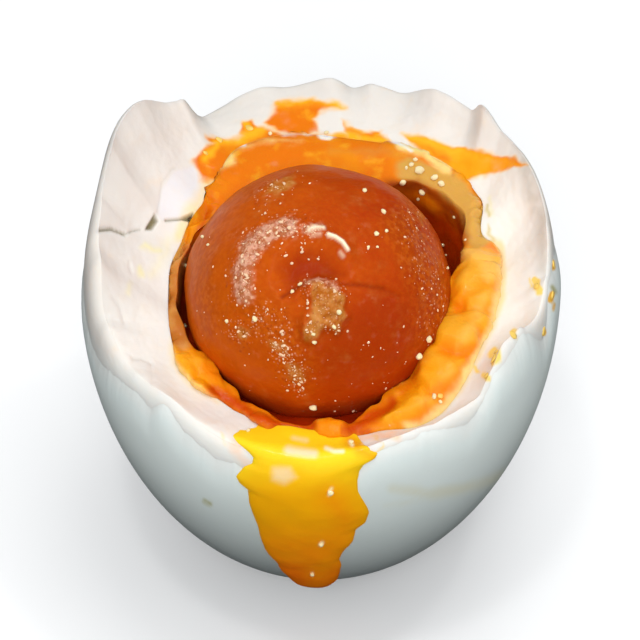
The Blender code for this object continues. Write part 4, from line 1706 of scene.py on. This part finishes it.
    def build(self) -> Piece:
        """Make the curd, lump it and paint its marks.

        Returns:
            The finished piece.
        """
        rings = np.concatenate([
            np.linspace(0, self.outside_share, self.back_rings),
            np.linspace(self.outside_share, self.edge_share, self.top_rings)[1:],
            np.linspace(self.edge_share, 1, self.wall_rings)[1:],
        ])
        curd = turned_mesh("soft_curd", self.columns, rings, self.place)
        points, out = points_of(curd), normals_of(curd)
        inner = rings[1:-1] - self.outside_share
        seen = by_ring(eased(inner / self.edge_fade), self.columns)
        rim = by_ring(eased(1 - inner / self.rim_share) * (inner > self.rim_start), self.columns)
        wet, thin = covered(points, self.wets), covered(points, self.thins)
        mounds = covered(points, self.mounds, 2.0)
        bent = points + self.bend * MM * joined(
            *(waves(points, self.bend_size * MM, seed) for seed in (21.0, 23.0, 27.0))
        )
        coarse = lumps(bent, self.coarse_size * MM) - 0.5
        small = lumps(bent, self.small_size * MM, 4.0) - 0.5
        relief = self.coarse_height * coarse + self.mound_height * mounds + self.small_height * small
        relief = (relief + layered(points, self.skin)) * (1 - self.calm * wet) * (1 - self.calm * thin)
        relief += layered(points, self.swell) * (1 - self.wet_calm * wet)
        move_points(curd, points + out * (relief * seen * MM)[:, None])
        for name, marks in (
            ("red", self.reds), ("amber", self.ambers), ("tan", self.tans), ("brown", self.thins),
            ("cream", self.creams), ("knob", self.knobs), ("pale", self.pales), ("bare", self.bares),
            ("shade", self.shades),
        ):
            paint(curd, name, covered(points, marks, 3.0))
        under = around(azimuth_of(points), MOUTH_HEIGHTS) - (points[:, 2] - FORM.waist)
        for name, cover in (
            ("wet", wet),
            ("rim", rim * (1 - wet) * (1 - thin) * covered(points, self.rims)),
            # Painted shade in the clefts, painted light on the lumps' tops.
            ("cleft", eased(0.75 - 0.9 * coarse - 0.6 * small - 0.9 * mounds)),
            ("top", eased(0.5 * coarse + 0.6 * small + 0.8 * mounds - 0.1)),
            ("low", eased((under - self.low_start) / self.low_reach)),
        ):
            paint(curd, name, cover)
        carried(curd, "curd", self.finish())
        return curd

    def finish(self) -> bpy.types.Material:
        """Soft yolk: yellow-orange lumps, painted light on their tops, painted shade in their clefts."""
        finish = Finish(
            "soft curd", roughness=0.33, coat=0.12, coat_roughness=0.1, specular=0.25, scatter=0.3,
            scatter_depth=1.4 * MM, scatter_tint=(1.0, 0.4, 0.08),
        )
        recipe, shader, material = finish.start()
        cloud = clouded(recipe, 330.0, 0.35, 0.65)
        colour = stained(
            recipe,
            recipe.mix(cloud, (0.83, 0.31, 0.004), (0.84, 0.36, 0.008)),
            # Painted light on the tops and the pale mounds, painted shade in the clefts.
            Stain("top", (0.83, 0.395, 0.03), 0.7),
            Stain("pale", (0.87, 0.48, 0.10), 0.8, (350.0, 0.6, 0.45)),
            Stain("cleft", (0.88, 0.22, 0.002), 0.85),
            Stain("amber", (0.93, 0.36, 0.003)),
            Stain("wet", soaked(recipe)),
            Stain("knob", (0.92, 0.26, 0.002)),
            Stain("tan", (0.66, 0.35, 0.065), edge=(300.0, 0.4, 0.45)),
            Stain("shade", (0.34, 0.05, 0.003)),
            Stain("cream", (0.96, 0.66, 0.22), edge=(500.0, 0.9, 0.4)),
            Stain("rim", (0.95, 0.68, 0.26), 0.85, (420.0, 0.9, 0.4)),
            Stain("bare", (0.90, 0.82, 0.72), edge=(450.0, 0.8, 0.4)),
            Stain("brown", recipe.mix(cloud, (0.50, 0.15, 0.015), (0.66, 0.30, 0.07))),
            # Darker red on the curd's yolk side, partly painted shade.
            Stain("red", (0.58, 0.068, 0.001)),
            Stain("low", (0.60, 0.052, 0.001)),
        )
        recipe.feed(shader.inputs["Base Color"], colour)
        finish.bump(recipe, shader, grained(recipe, 1300.0, 0.5), 0.08 * MM, 0.6)
        return material


@dataclass
class Oil:
    """The red oil that fills the gap round the yolk up to one level."""

    columns: int = 360
    under_rings: int = 8
    top_rings: int = 60
    depth: float = 3.0 * MM
    overlap: float = 0.25 * MM
    # Relief in millimetres.
    ripple: Layers = ((0.06, 1.6, 5.0),)

    def place(self, azimuth: Array, share: Array) -> Array:
        """The pool's points: from the middle under the yolk out to the curd and back on top.

        Args:
            azimuth: angles in radians.
            share: 0 in the middle below, 1 in the middle on top.

        Returns:
            Points in metres.
        """
        outer = np.clip(1 - np.abs(share * 2 - 1), 0, 1)
        level = around(azimuth, OIL_LEVELS)
        top = around(azimuth, MOUTH_HEIGHTS)
        bottom = FORM.bowl_centre.z - FORM.bowl_half_height + self.overlap
        down = np.arcsin(np.clip((top - level) / (top - bottom), 0, 1)) * 2 / math.pi
        wall = FORM.hollow(azimuth, down, self.overlap, self.overlap)
        middle = np.array((YOLK_CENTRE.x, YOLK_CENTRE.y, 0))
        points = middle + (wall - middle) * outer[..., None]
        points[..., 2] = FORM.waist + np.where(share < 0.5, level - self.depth, level)
        return points

    def build(self) -> Piece:
        """Make the pool of oil.

        Returns:
            The finished piece.
        """
        rings = np.concatenate([np.linspace(0, 0.49, self.under_rings), np.linspace(0.5, 1, self.top_rings)])
        oil = turned_mesh("red_oil", self.columns, rings, self.place)
        points = points_of(oil)
        points[:, 2] += layered(points, self.ripple) * MM * (normals_of(oil)[:, 2] > 0.5)
        move_points(oil, points)
        carried(oil, "oil", self.finish())
        return oil

    def finish(self) -> bpy.types.Material:
        """Dark red oil, wet."""
        finish = Finish("red oil", roughness=0.06, coat=0.6, coat_roughness=0.03, specular=0.6)
        recipe, shader, material = finish.start()
        colour = recipe.mix(clouded(recipe, 500.0, 0.3, 0.7), (0.58, 0.032, 0.001), (0.66, 0.048, 0.001))
        recipe.feed(shader.inputs["Base Color"], colour)
        return material


@dataclass
class Run:
    """The yellow oil that ran from the mouth over the edge and down the front."""

    columns: int = 240
    rows: int = 260
    end_height: float = -27.5 * MM
    thickness: float = 1.10 * MM
    lip_share: float = 0.22
    inner_share: float = 0.3
    inner_reach: float = 0.6 * MM
    embed: float = 0.22 * MM
    corner_lift: float = 0.15 * MM
    corner_width: float = 0.08
    bend: float = 0.024
    # The run's ends and sides: how square, how high a ripple in degrees, and how domed.
    squareness: int = 8
    ripple: float = 0.5
    doming: float = 0.7
    # How much thinner the run is at its lip and below it, and where it fills out again, as shares.
    lip_thin: float = 0.5
    lip_reach: float = 0.25
    below_thin: float = 0.35
    below_reach: float = 0.5
    foot_start: float = 0.7
    # Relief in millimetres.
    swell: Layers = ((0.10, 3.2, 2.0), (0.02, 1.1, 4.0))
    # Where the run's colour deepens, in pixels from the top.
    colour_start: float = 425
    colour_reach: float = 160
    # Pale patches near the lip: partly the white showing through the thin oil, partly painted highlight.
    pales: Marks = (
        Mark(((288, 450), (300, 452), (314, 454)), 4, 7),
        Mark(((272, 468), (290, 468), (295, 478), (284, 484), (272, 480)), soft=9, strength=0.75, area=True),
        Mark(((293, 438), (306, 441)), 2, 6, 0.6),
    )
    glints: Marks = (
        Mark(((326, 448), (334, 451), (342, 451)), 2, 4),
        Mark(((350, 442), (352, 445)), 1.5, 4),
        Mark(((329, 495), (331, 489)), 1.2, 4, 0.9),
        Mark(((320, 545), (322, 543)), 1.4, 4, 0.9),
        Mark(((312, 574), (312, 575)), 1.0, 4, 0.8),
    )
    oranges: Marks = (
        Mark(((350, 440), (362, 452), (372, 455)), 5, 14, 0.7),
        Mark(((330, 500), (345, 520), (340, 545), (320, 570)), 10, 34, 0.8),
    )

    @staticmethod
    def edges(along: Array) -> tuple[Array, Array]:
        """The run's left and right azimuths, along from 0 at the mouth to 1 at its end."""
        left, right = (
            np.radians(np.interp(along / THOUSANDTH, [row[0] for row in side], [row[1] for row in side]))
            for side in (RUN_LEFT, RUN_RIGHT)
        )
        return left, right

    def soft_bed(self, azimuth: Array, along: Array) -> tuple[Array, Array]:
        """The run's bed with its corners rounded, and the way out of it.

        Args:
            azimuth: angles in radians.
            along: 0 at the mouth, 1 at the run's end.

        Returns:
            Points in metres, and unit directions.
        """
        bed, out, total = 0.0, 0.0, 0.0
        for step in np.linspace(-2, 2, 9):
            weight = math.exp(-step * step / 2)
            place, way = self.bed(azimuth, np.clip(along + step * self.bend, 0, 1))
            bed, out, total = bed + place * weight, out + way * weight, total + weight
        return bed / total, out / np.linalg.norm(out, axis=-1, keepdims=True)

    def bed(self, azimuth: Array, along: Array) -> tuple[Array, Array]:
        """What the run lies on, and the way out of it.

        Args:
            azimuth: angles in radians.
            along: 0 at the mouth, 1 at the run's end.

        Returns:
            Points in metres, and unit directions.
        """
        over = along / self.lip_share * (1 + self.inner_share)
        across = np.clip(over - self.inner_share, 0, 1)
        inner = np.clip(1 - over / self.inner_share, 0, 1)
        edge = around(azimuth, SHELL_EDGE_HEIGHTS)
        lip = np.maximum(around(azimuth, CREST_HEIGHTS), edge + FORM.over_shell)
        level = outwards(azimuth)
        upright = np.array((0.0, 0.0, 1.0))
        face = FORM.face(azimuth, 1 - across, lip)
        reach = np.hypot(face[..., 0], face[..., 1]) - self.inner_reach * inner
        face[..., :2] = reach[..., None] * level[..., :2]
        down = np.clip((along - self.lip_share) / (1 - self.lip_share), 0, 1)
        height = lip + (self.end_height - lip) * down
        inset = np.where(height > edge, FORM.white_inset, FORM.thinned(edge - height))
        wall = level * (FORM.radius(height) - inset)[..., None]
        wall[..., 2] = FORM.waist + height
        ratio = np.where(height < 0, FORM.waist_radius / FORM.pointed_length, 1.0) ** 2
        out = level * FORM.radius(height)[..., None] + upright * (height * ratio)[..., None]
        out = out / np.linalg.norm(out, axis=-1, keepdims=True)
        turn = eased((along - self.lip_share * 0.8) / (self.lip_share * 0.6))[..., None]
        way = upright * (1 - turn) + out * turn
        way /= np.linalg.norm(way, axis=-1, keepdims=True)
        over_lip = (along < self.lip_share)[..., None]
        return FORM.rounded(np.where(over_lip, face, wall), azimuth, lip), way

    def place(self, azimuth: Array, share: Array) -> Array:
        """The run's points, as a ball drawn out along its bed.

        Args:
            azimuth: angles round the ball, in radians.
            share: 0 at the run's end, 1 at the mouth.

        Returns:
            Points in metres.
        """
        along = 0.5 - np.cos((1 - share) * math.pi) / 2
        left, right = self.edges(along)
        ends = np.sqrt(np.clip(1 - (2 * share - 1) ** self.squareness, 0, 1))
        across = -np.cos(azimuth) * ends
        edge = joined(np.sign(across), along * 14, 0 * across)
        ripple = np.radians(self.ripple) * waves(edge, 1.0, 3.0) * np.abs(across) ** 3
        bed, out = self.soft_bed((left + right) / 2 + (right - left) / 2 * across + ripple, along)
        dome = np.sqrt(np.clip(1 - across**2, 0, 1)) ** self.doming * np.sqrt(np.clip(ends, 0.02, 1))
        filled = eased((along - self.foot_start) / (1 - self.foot_start)) - eased(along / self.below_reach)
        swell = (1 + self.below_thin * filled) * (1 - self.lip_thin * (1 - eased(along / self.lip_reach)))
        lift = np.where(np.sin(azimuth) >= 0, self.thickness * dome * swell, 0.0) - self.embed
        corner = np.exp(-(((along - self.lip_share) / self.corner_width) ** 2))
        return bed + out * (lift + self.corner_lift * corner)[..., None]

    def build(self) -> Piece:
        """Make the run and paint its marks.

        Returns:
            The finished piece.
        """
        run = turned_mesh("yolk_oil_run", self.columns, np.linspace(0, 1, self.rows), self.place)
        points = points_of(run)
        move_points(run, points + normals_of(run) * (layered(points, self.swell) * MM)[:, None])
        _, down = VIEW.pixels(points)
        paint(run, "down", np.clip((down - self.colour_start) / self.colour_reach, 0, 1))
        for name, marks, wobble in (
            ("pale", self.pales, 1.0), ("glint", self.glints, 0.0), ("orange", self.oranges, 2.0)
        ):
            paint(run, name, covered(points, marks, wobble))
        carried(run, "run", self.finish())
        return run

    def finish(self) -> bpy.types.Material:
        """Golden oil, yellow at the lip and orange-brown at its end."""
        finish = Finish(
            "golden oil", roughness=0.32, coat=0.12, coat_roughness=0.15, specular=0.3, scatter=0.15,
            scatter_depth=1.0 * MM, scatter_tint=(1.0, 0.5, 0.05),
        )
        recipe, shader, material = finish.start()
        down = recipe.mask("down")
        colour: object = (0.97, 0.60, 0.008)
        for low, high, deeper in (
            (0.0, 0.10, (1.0, 0.68, 0.012)),
            (0.15, 0.5, (1.0, 0.44, 0.002)),
            (0.5, 1.0, (1.0, 0.18, 0.003)),
        ):
            colour = recipe.mix(recipe.ramp(down, low, high), colour, deeper)
        cloud = clouded(recipe, 200.0, 0.4, 0.7)
        colour = stained(
            recipe,
            recipe.mix(recipe.times(cloud, 0.25), colour, (0.92, 0.42, 0.004)),
            Stain("orange", (1.0, 0.32, 0.002)),
            # Pale patches, partly painted highlight.
            Stain("pale", (0.97, 0.72, 0.42)),
            Stain("glint", (1.0, 0.92, 0.55)),
        )
        recipe.feed(shader.inputs["Base Color"], colour)
        return material


@dataclass
class Beads:
    """Small beads of fat and crumbs of curd, each on the piece that carries it.

    Each is (pixels across, pixels down, radius in millimetres).
    """

    name: str
    slot: str
    places: Sequence[tuple[float, float, float]]
    colour: Colour
    segments: int = 12
    rings: int = 8
    sink: float = 0.3
    flat: float = 0.8
    stretch: float = 1.2
    narrowest: float = 0.75
    rough: float = 0.0
    rough_scale: float = 1.3
    gloss: float = 0.12
    shade: float = 0.82

    def build(self, carriers: Sequence[Piece]) -> None:
        """Make the beads where their view rays meet the carriers.

        Args:
            carriers: the pieces that beads may lie on.
        """
        draw = random.Random(self.name)
        trees = [self.tree(piece) for piece in carriers]
        unit, ball_faces = self.ball()
        verts: list[tuple[float, ...]] = []
        faces: list[list[int]] = []
        for across, down, radius in self.places:
            way = VIEW.ray(across, down)
            hits = [tree.ray_cast(VIEW.eye, way) for tree in trees]
            found = [(distance, place, out) for place, out, _, distance in hits if place is not None]
            if not found:
                LOG.warning("%s: nothing under %s, %s", self.name, across, down)
                continue
            _, place, out = min(found, key=lambda item: item[0])
            centre = place + out * radius * MM * self.flat * (1 - 2 * self.sink)
            turn = out.to_track_quat("Z", "Y") @ Quaternion((0, 0, 1), draw.uniform(0, math.pi))
            long, short = draw.uniform(1.0, self.stretch), draw.uniform(self.narrowest, 1.0)
            seed = Vector((draw.uniform(0, 90), draw.uniform(0, 90), 0))
            start = len(verts)
            for point in unit:
                swell = 1 + self.rough * noise.noise(seed + point * self.rough_scale)
                shaped = Vector((point.x * long, point.y * short, point.z * self.flat))
                verts.append(tuple(centre + turn @ shaped * radius * MM * swell))
            faces += [[start + corner for corner in face] for face in ball_faces]
        carried(new_piece(self.name, verts, faces), "", self.finish())

    @staticmethod
    def tree(piece: Piece) -> BVHTree:
        """A piece's surface, ready to be met by a ray."""
        return BVHTree.FromObject(piece, bpy.context.evaluated_depsgraph_get())

    def ball(self) -> tuple[list[Vector], list[list[int]]]:
        """Make a unit ball.

        Returns:
            Its points and its faces.
        """
        points = [Vector((0, 0, -1))]
        for ring in range(1, self.rings):
            tilt = math.pi * (ring / self.rings - 0.5)
            for step in range(self.segments):
                turn = math.tau * step / self.segments
                points.append(
                    Vector((math.cos(turn) * math.cos(tilt), math.sin(turn) * math.cos(tilt), math.sin(tilt)))
                )
        points.append(Vector((0, 0, 1)))
        faces = []
        last = len(points) - 1
        for step in range(self.segments):
            after = (step + 1) % self.segments
            faces.append([0, 1 + after, 1 + step])
            for ring in range(self.rings - 2):
                low, high = 1 + ring * self.segments, 1 + (ring + 1) * self.segments
                faces.append([low + step, low + after, high + after, high + step])
            start = last - self.segments
            faces.append([last, start + step, start + after])
        return points, faces

    def finish(self) -> bpy.types.Material:
        """A small glossy bead."""
        finish = Finish(self.name, roughness=self.gloss, coat=0.5, coat_roughness=0.05, specular=0.6)
        recipe, shader, material = finish.start()
        darker = tuple(part * self.shade for part in self.colour)
        colour = recipe.mix(clouded(recipe, 1200.0, 0.3, 0.7), darker, self.colour)
        recipe.feed(shader.inputs["Base Color"], colour)
        return material


# Pale beads of fat; some, such as those on the run, stand where its highlights are, so their pale colour is
# partly a painted highlight.
FAT_BEADS = (
    (402, 182, 0.34), (411, 165, 0.26), (419, 171, 0.42), (415, 160, 0.24), (434, 178, 0.36),
    (441, 184, 0.34), (422, 192, 0.34), (406, 168, 0.20), (418, 199, 0.20), (185, 265, 0.24),
    (184, 326, 0.26), (428, 339, 0.34), (418, 356, 0.36), (313, 407, 0.34), (364, 191, 0.26),
    (383, 212, 0.26), (376, 234, 0.26), (386, 231, 0.17), (368, 247, 0.16), (377, 247, 0.14),
    (443, 245, 0.18), (454, 217, 0.15), (465, 240, 0.15), (446, 255, 0.15), (447, 268, 0.15),
    (248, 431, 0.22), (227, 321, 0.20), (255, 319, 0.26), (300, 284, 0.22), (292, 292, 0.20),
    (339, 312, 0.26), (334, 327, 0.22), (314, 342, 0.22), (313, 334, 0.18), (203, 237, 0.24),
    (208, 245, 0.16), (270, 134, 0.22), (326, 133, 0.24), (330, 492, 0.30), (321, 544, 0.26),
    (312, 574, 0.22), (434, 397, 0.28), (440, 402, 0.20), (351, 443, 0.26),
)
CURD_CRUMBS = (
    (513, 335, 0.34), (496, 352, 0.34), (494, 358, 0.40), (486, 376, 0.34), (536, 286, 0.34),
    (553, 264, 0.26), (552, 295, 0.30), (543, 331, 0.36), (219, 140, 0.34), (249, 128, 0.34),
    (440, 396, 0.26), (205, 153, 0.24),
)
# Where grains of the yolk's skin cluster: (pixels across, pixels down, spread across, spread down, count).
GRAIN_CLUSTERS = (
    (243, 282, 5, 12, 34), (249, 258, 6, 10, 34), (266, 238, 9, 7, 40), (290, 230, 10, 5, 34),
    (312, 231, 7, 3, 22), (242, 332, 4, 4, 18), (256, 318, 8, 6, 12), (268, 312, 10, 6, 10),
    (277, 344, 5, 6, 26), (283, 352, 4, 4, 22), (290, 368, 5, 5, 22), (298, 380, 4, 4, 26),
    (302, 388, 3, 3, 8), (316, 282, 7, 3, 20), (333, 290, 5, 4, 14), (336, 328, 5, 4, 14),
    (308, 330, 4, 6, 10), (320, 306, 12, 10, 12), (266, 208, 6, 6, 12), (276, 190, 9, 6, 14),
    (418, 218, 5, 5, 8), (420, 262, 16, 32, 36), (438, 300, 7, 24, 16), (388, 384, 8, 5, 9),
    (345, 406, 7, 4, 6), (405, 350, 10, 10, 7), (290, 300, 70, 70, 46), (371, 350, 7, 5, 6),
    (300, 252, 12, 8, 10), (220, 334, 12, 26, 10), (372, 246, 9, 4, 5), (300, 186, 20, 8, 10),
)
# The grains' radii in millimetres: the least, how much more the largest have, and how rare those are.
GRAIN_LEAST = 0.035
GRAIN_MORE = 0.13
GRAIN_RARITY = 4


def scattered(clusters: Sequence[tuple[float, ...]], seed: int) -> list[tuple[float, float, float]]:
    """Draw small grains round each cluster's middle.

    Args:
        clusters: (pixels across, pixels down, spread across, spread down, count).
        seed: makes the same grains each time.

    Returns:
        (pixels across, pixels down, radius in millimetres) of each grain.
    """
    draw = random.Random(seed)
    grains = []
    for across, down, wide, high, count in clusters:
        for _ in range(int(count)):
            radius = GRAIN_LEAST + GRAIN_MORE * draw.random() ** GRAIN_RARITY
            grains.append((draw.gauss(across, wide), draw.gauss(down, high), radius))
    return grains


@dataclass(frozen=True)
class Lamp:
    """A square soft light: where it hangs, its power in watts, its side, and whether wet oil mirrors it."""

    name: str
    place: tuple[float, float, float]
    power: float
    side: float = 0.20
    mirrored: bool = False

    def hang(self) -> None:
        """Put the lamp in the scene, facing the egg."""
        lamp = bpy.data.lights.new(self.name, "AREA")
        lamp.size = self.side
        lamp.energy = self.power
        holder = bpy.data.objects.new(self.name, lamp)
        holder.location = self.place
        holder.visible_glossy = self.mirrored
        way = Vector((0, 0, FORM.waist)) - Vector(self.place)
        holder.rotation_euler = way.to_track_quat("-Z", "Y").to_euler()
        bpy.context.scene.collection.objects.link(holder)


@dataclass
class Studio:
    """The pale floor, the soft lights and the camera."""

    floor_size: float = 1.6
    floor_colour: Colour = (0.96, 0.96, 0.96)
    room_strength: float = 0.75
    room_low: Colour = (0.10, 0.10, 0.10)
    room_high: Colour = (0.96, 0.98, 1.0)
    lamps: Sequence[Lamp] = (
        Lamp("key", (-0.03, -0.38, 0.36), 0.88),
        Lamp("low", (0.02, -0.48, 0.04), 0.56),
        Lamp("side", (0.50, -0.12, 0.16), 0.20),
        Lamp("top", (0.06, 0.04, 0.45), 0.35),
        Lamp("glint_left", (-0.05, -0.10, 0.42), 0.14, side=0.035, mirrored=True),
        Lamp("glint_right", (0.12, -0.02, 0.40), 0.07, side=0.025, mirrored=True),
    )

    def build(self) -> None:
        """Set up the world, the floor, the lights and the camera."""
        scene = bpy.context.scene
        scene.view_settings.view_transform = "Standard"
        world = bpy.data.worlds.new("pale room")
        world.use_nodes = True
        recipe = Recipe(world.node_tree)
        room = recipe.node("ShaderNodeBackground")
        result = recipe.node("ShaderNodeOutputWorld")
        recipe.feed(result.inputs["Surface"], room.outputs[0])
        way = recipe.node("ShaderNodeSeparateXYZ")
        recipe.feed(way.inputs[0], recipe.node("ShaderNodeTexCoord").outputs["Generated"])
        upward = recipe.ramp(way.outputs[2], -0.45, 0.65)
        recipe.feed(room.inputs["Color"], recipe.mix(upward, self.room_low, self.room_high))
        room.inputs["Strength"].default_value = self.room_strength
        world.cycles_visibility.glossy = False
        scene.world = world
        self.floor()
        for lamp in self.lamps:
            lamp.hang()
        self.camera()

    def floor(self) -> None:
        """A plain pale floor."""
        half = self.floor_size / 2
        corners = [(-half, -half, 0), (half, -half, 0), (half, half, 0), (-half, half, 0)]
        floor = new_piece("floor", corners, [[0, 1, 2, 3]])
        recipe, shader, material = Finish("pale floor", roughness=0.6, specular=0.2).start()
        recipe.feed(shader.inputs["Base Color"], self.floor_colour)
        floor.data.materials.append(material)
        floor.visible_glossy = False
        floor.visible_diffuse = False

    def camera(self) -> None:
        """The front view's camera, with the small shift that its framing needs."""
        lens = bpy.data.cameras.new("camera")
        lens.sensor_width = 36
        lens.lens = lens.sensor_width * VIEW.distance / (VIEW.frame * VIEW.pixel)
        lens.clip_start = 0.01
        lens.shift_y = (VIEW.middle[1] - VIEW.frame / 2) / VIEW.frame
        holder = bpy.data.objects.new("camera", lens)
        holder.location = VIEW.eye
        holder.rotation_euler = VIEW.axes[2].to_track_quat("-Z", "Y").to_euler()
        bpy.context.scene.collection.objects.link(holder)
        bpy.context.scene.camera = holder


def main() -> None:
    """Load the frame, build each piece on it and keep both boxes."""
    logging.basicConfig(level=logging.INFO, format="%(message)s")
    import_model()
    carriers = [part.build() for part in (Shell(), White(), Curd(), Yolk(), Oil(), Run())]
    yolk = carriers[3]
    # The fat beads' pale colour is partly a painted highlight.
    fat, crumb, grain = (1.0, 0.86, 0.50), (0.97, 0.66, 0.14), (0.97, 0.66, 0.42)
    Beads("fat_beads", "curd", FAT_BEADS, fat, gloss=0.08, rough=0.3).build(carriers)
    crumbs = Beads("curd_crumbs", "curd", CURD_CRUMBS, crumb, rough=0.35, gloss=0.3, flat=0.3, stretch=1.5)
    crumbs.build(carriers)
    Beads(
        "yolk_grains", "yolk", scattered(GRAIN_CLUSTERS, 5), grain, segments=8, rings=6,
        flat=0.6, stretch=1.8, gloss=0.1,
    ).build([yolk])
    Studio().build()


if __name__ == "__main__":
    main()
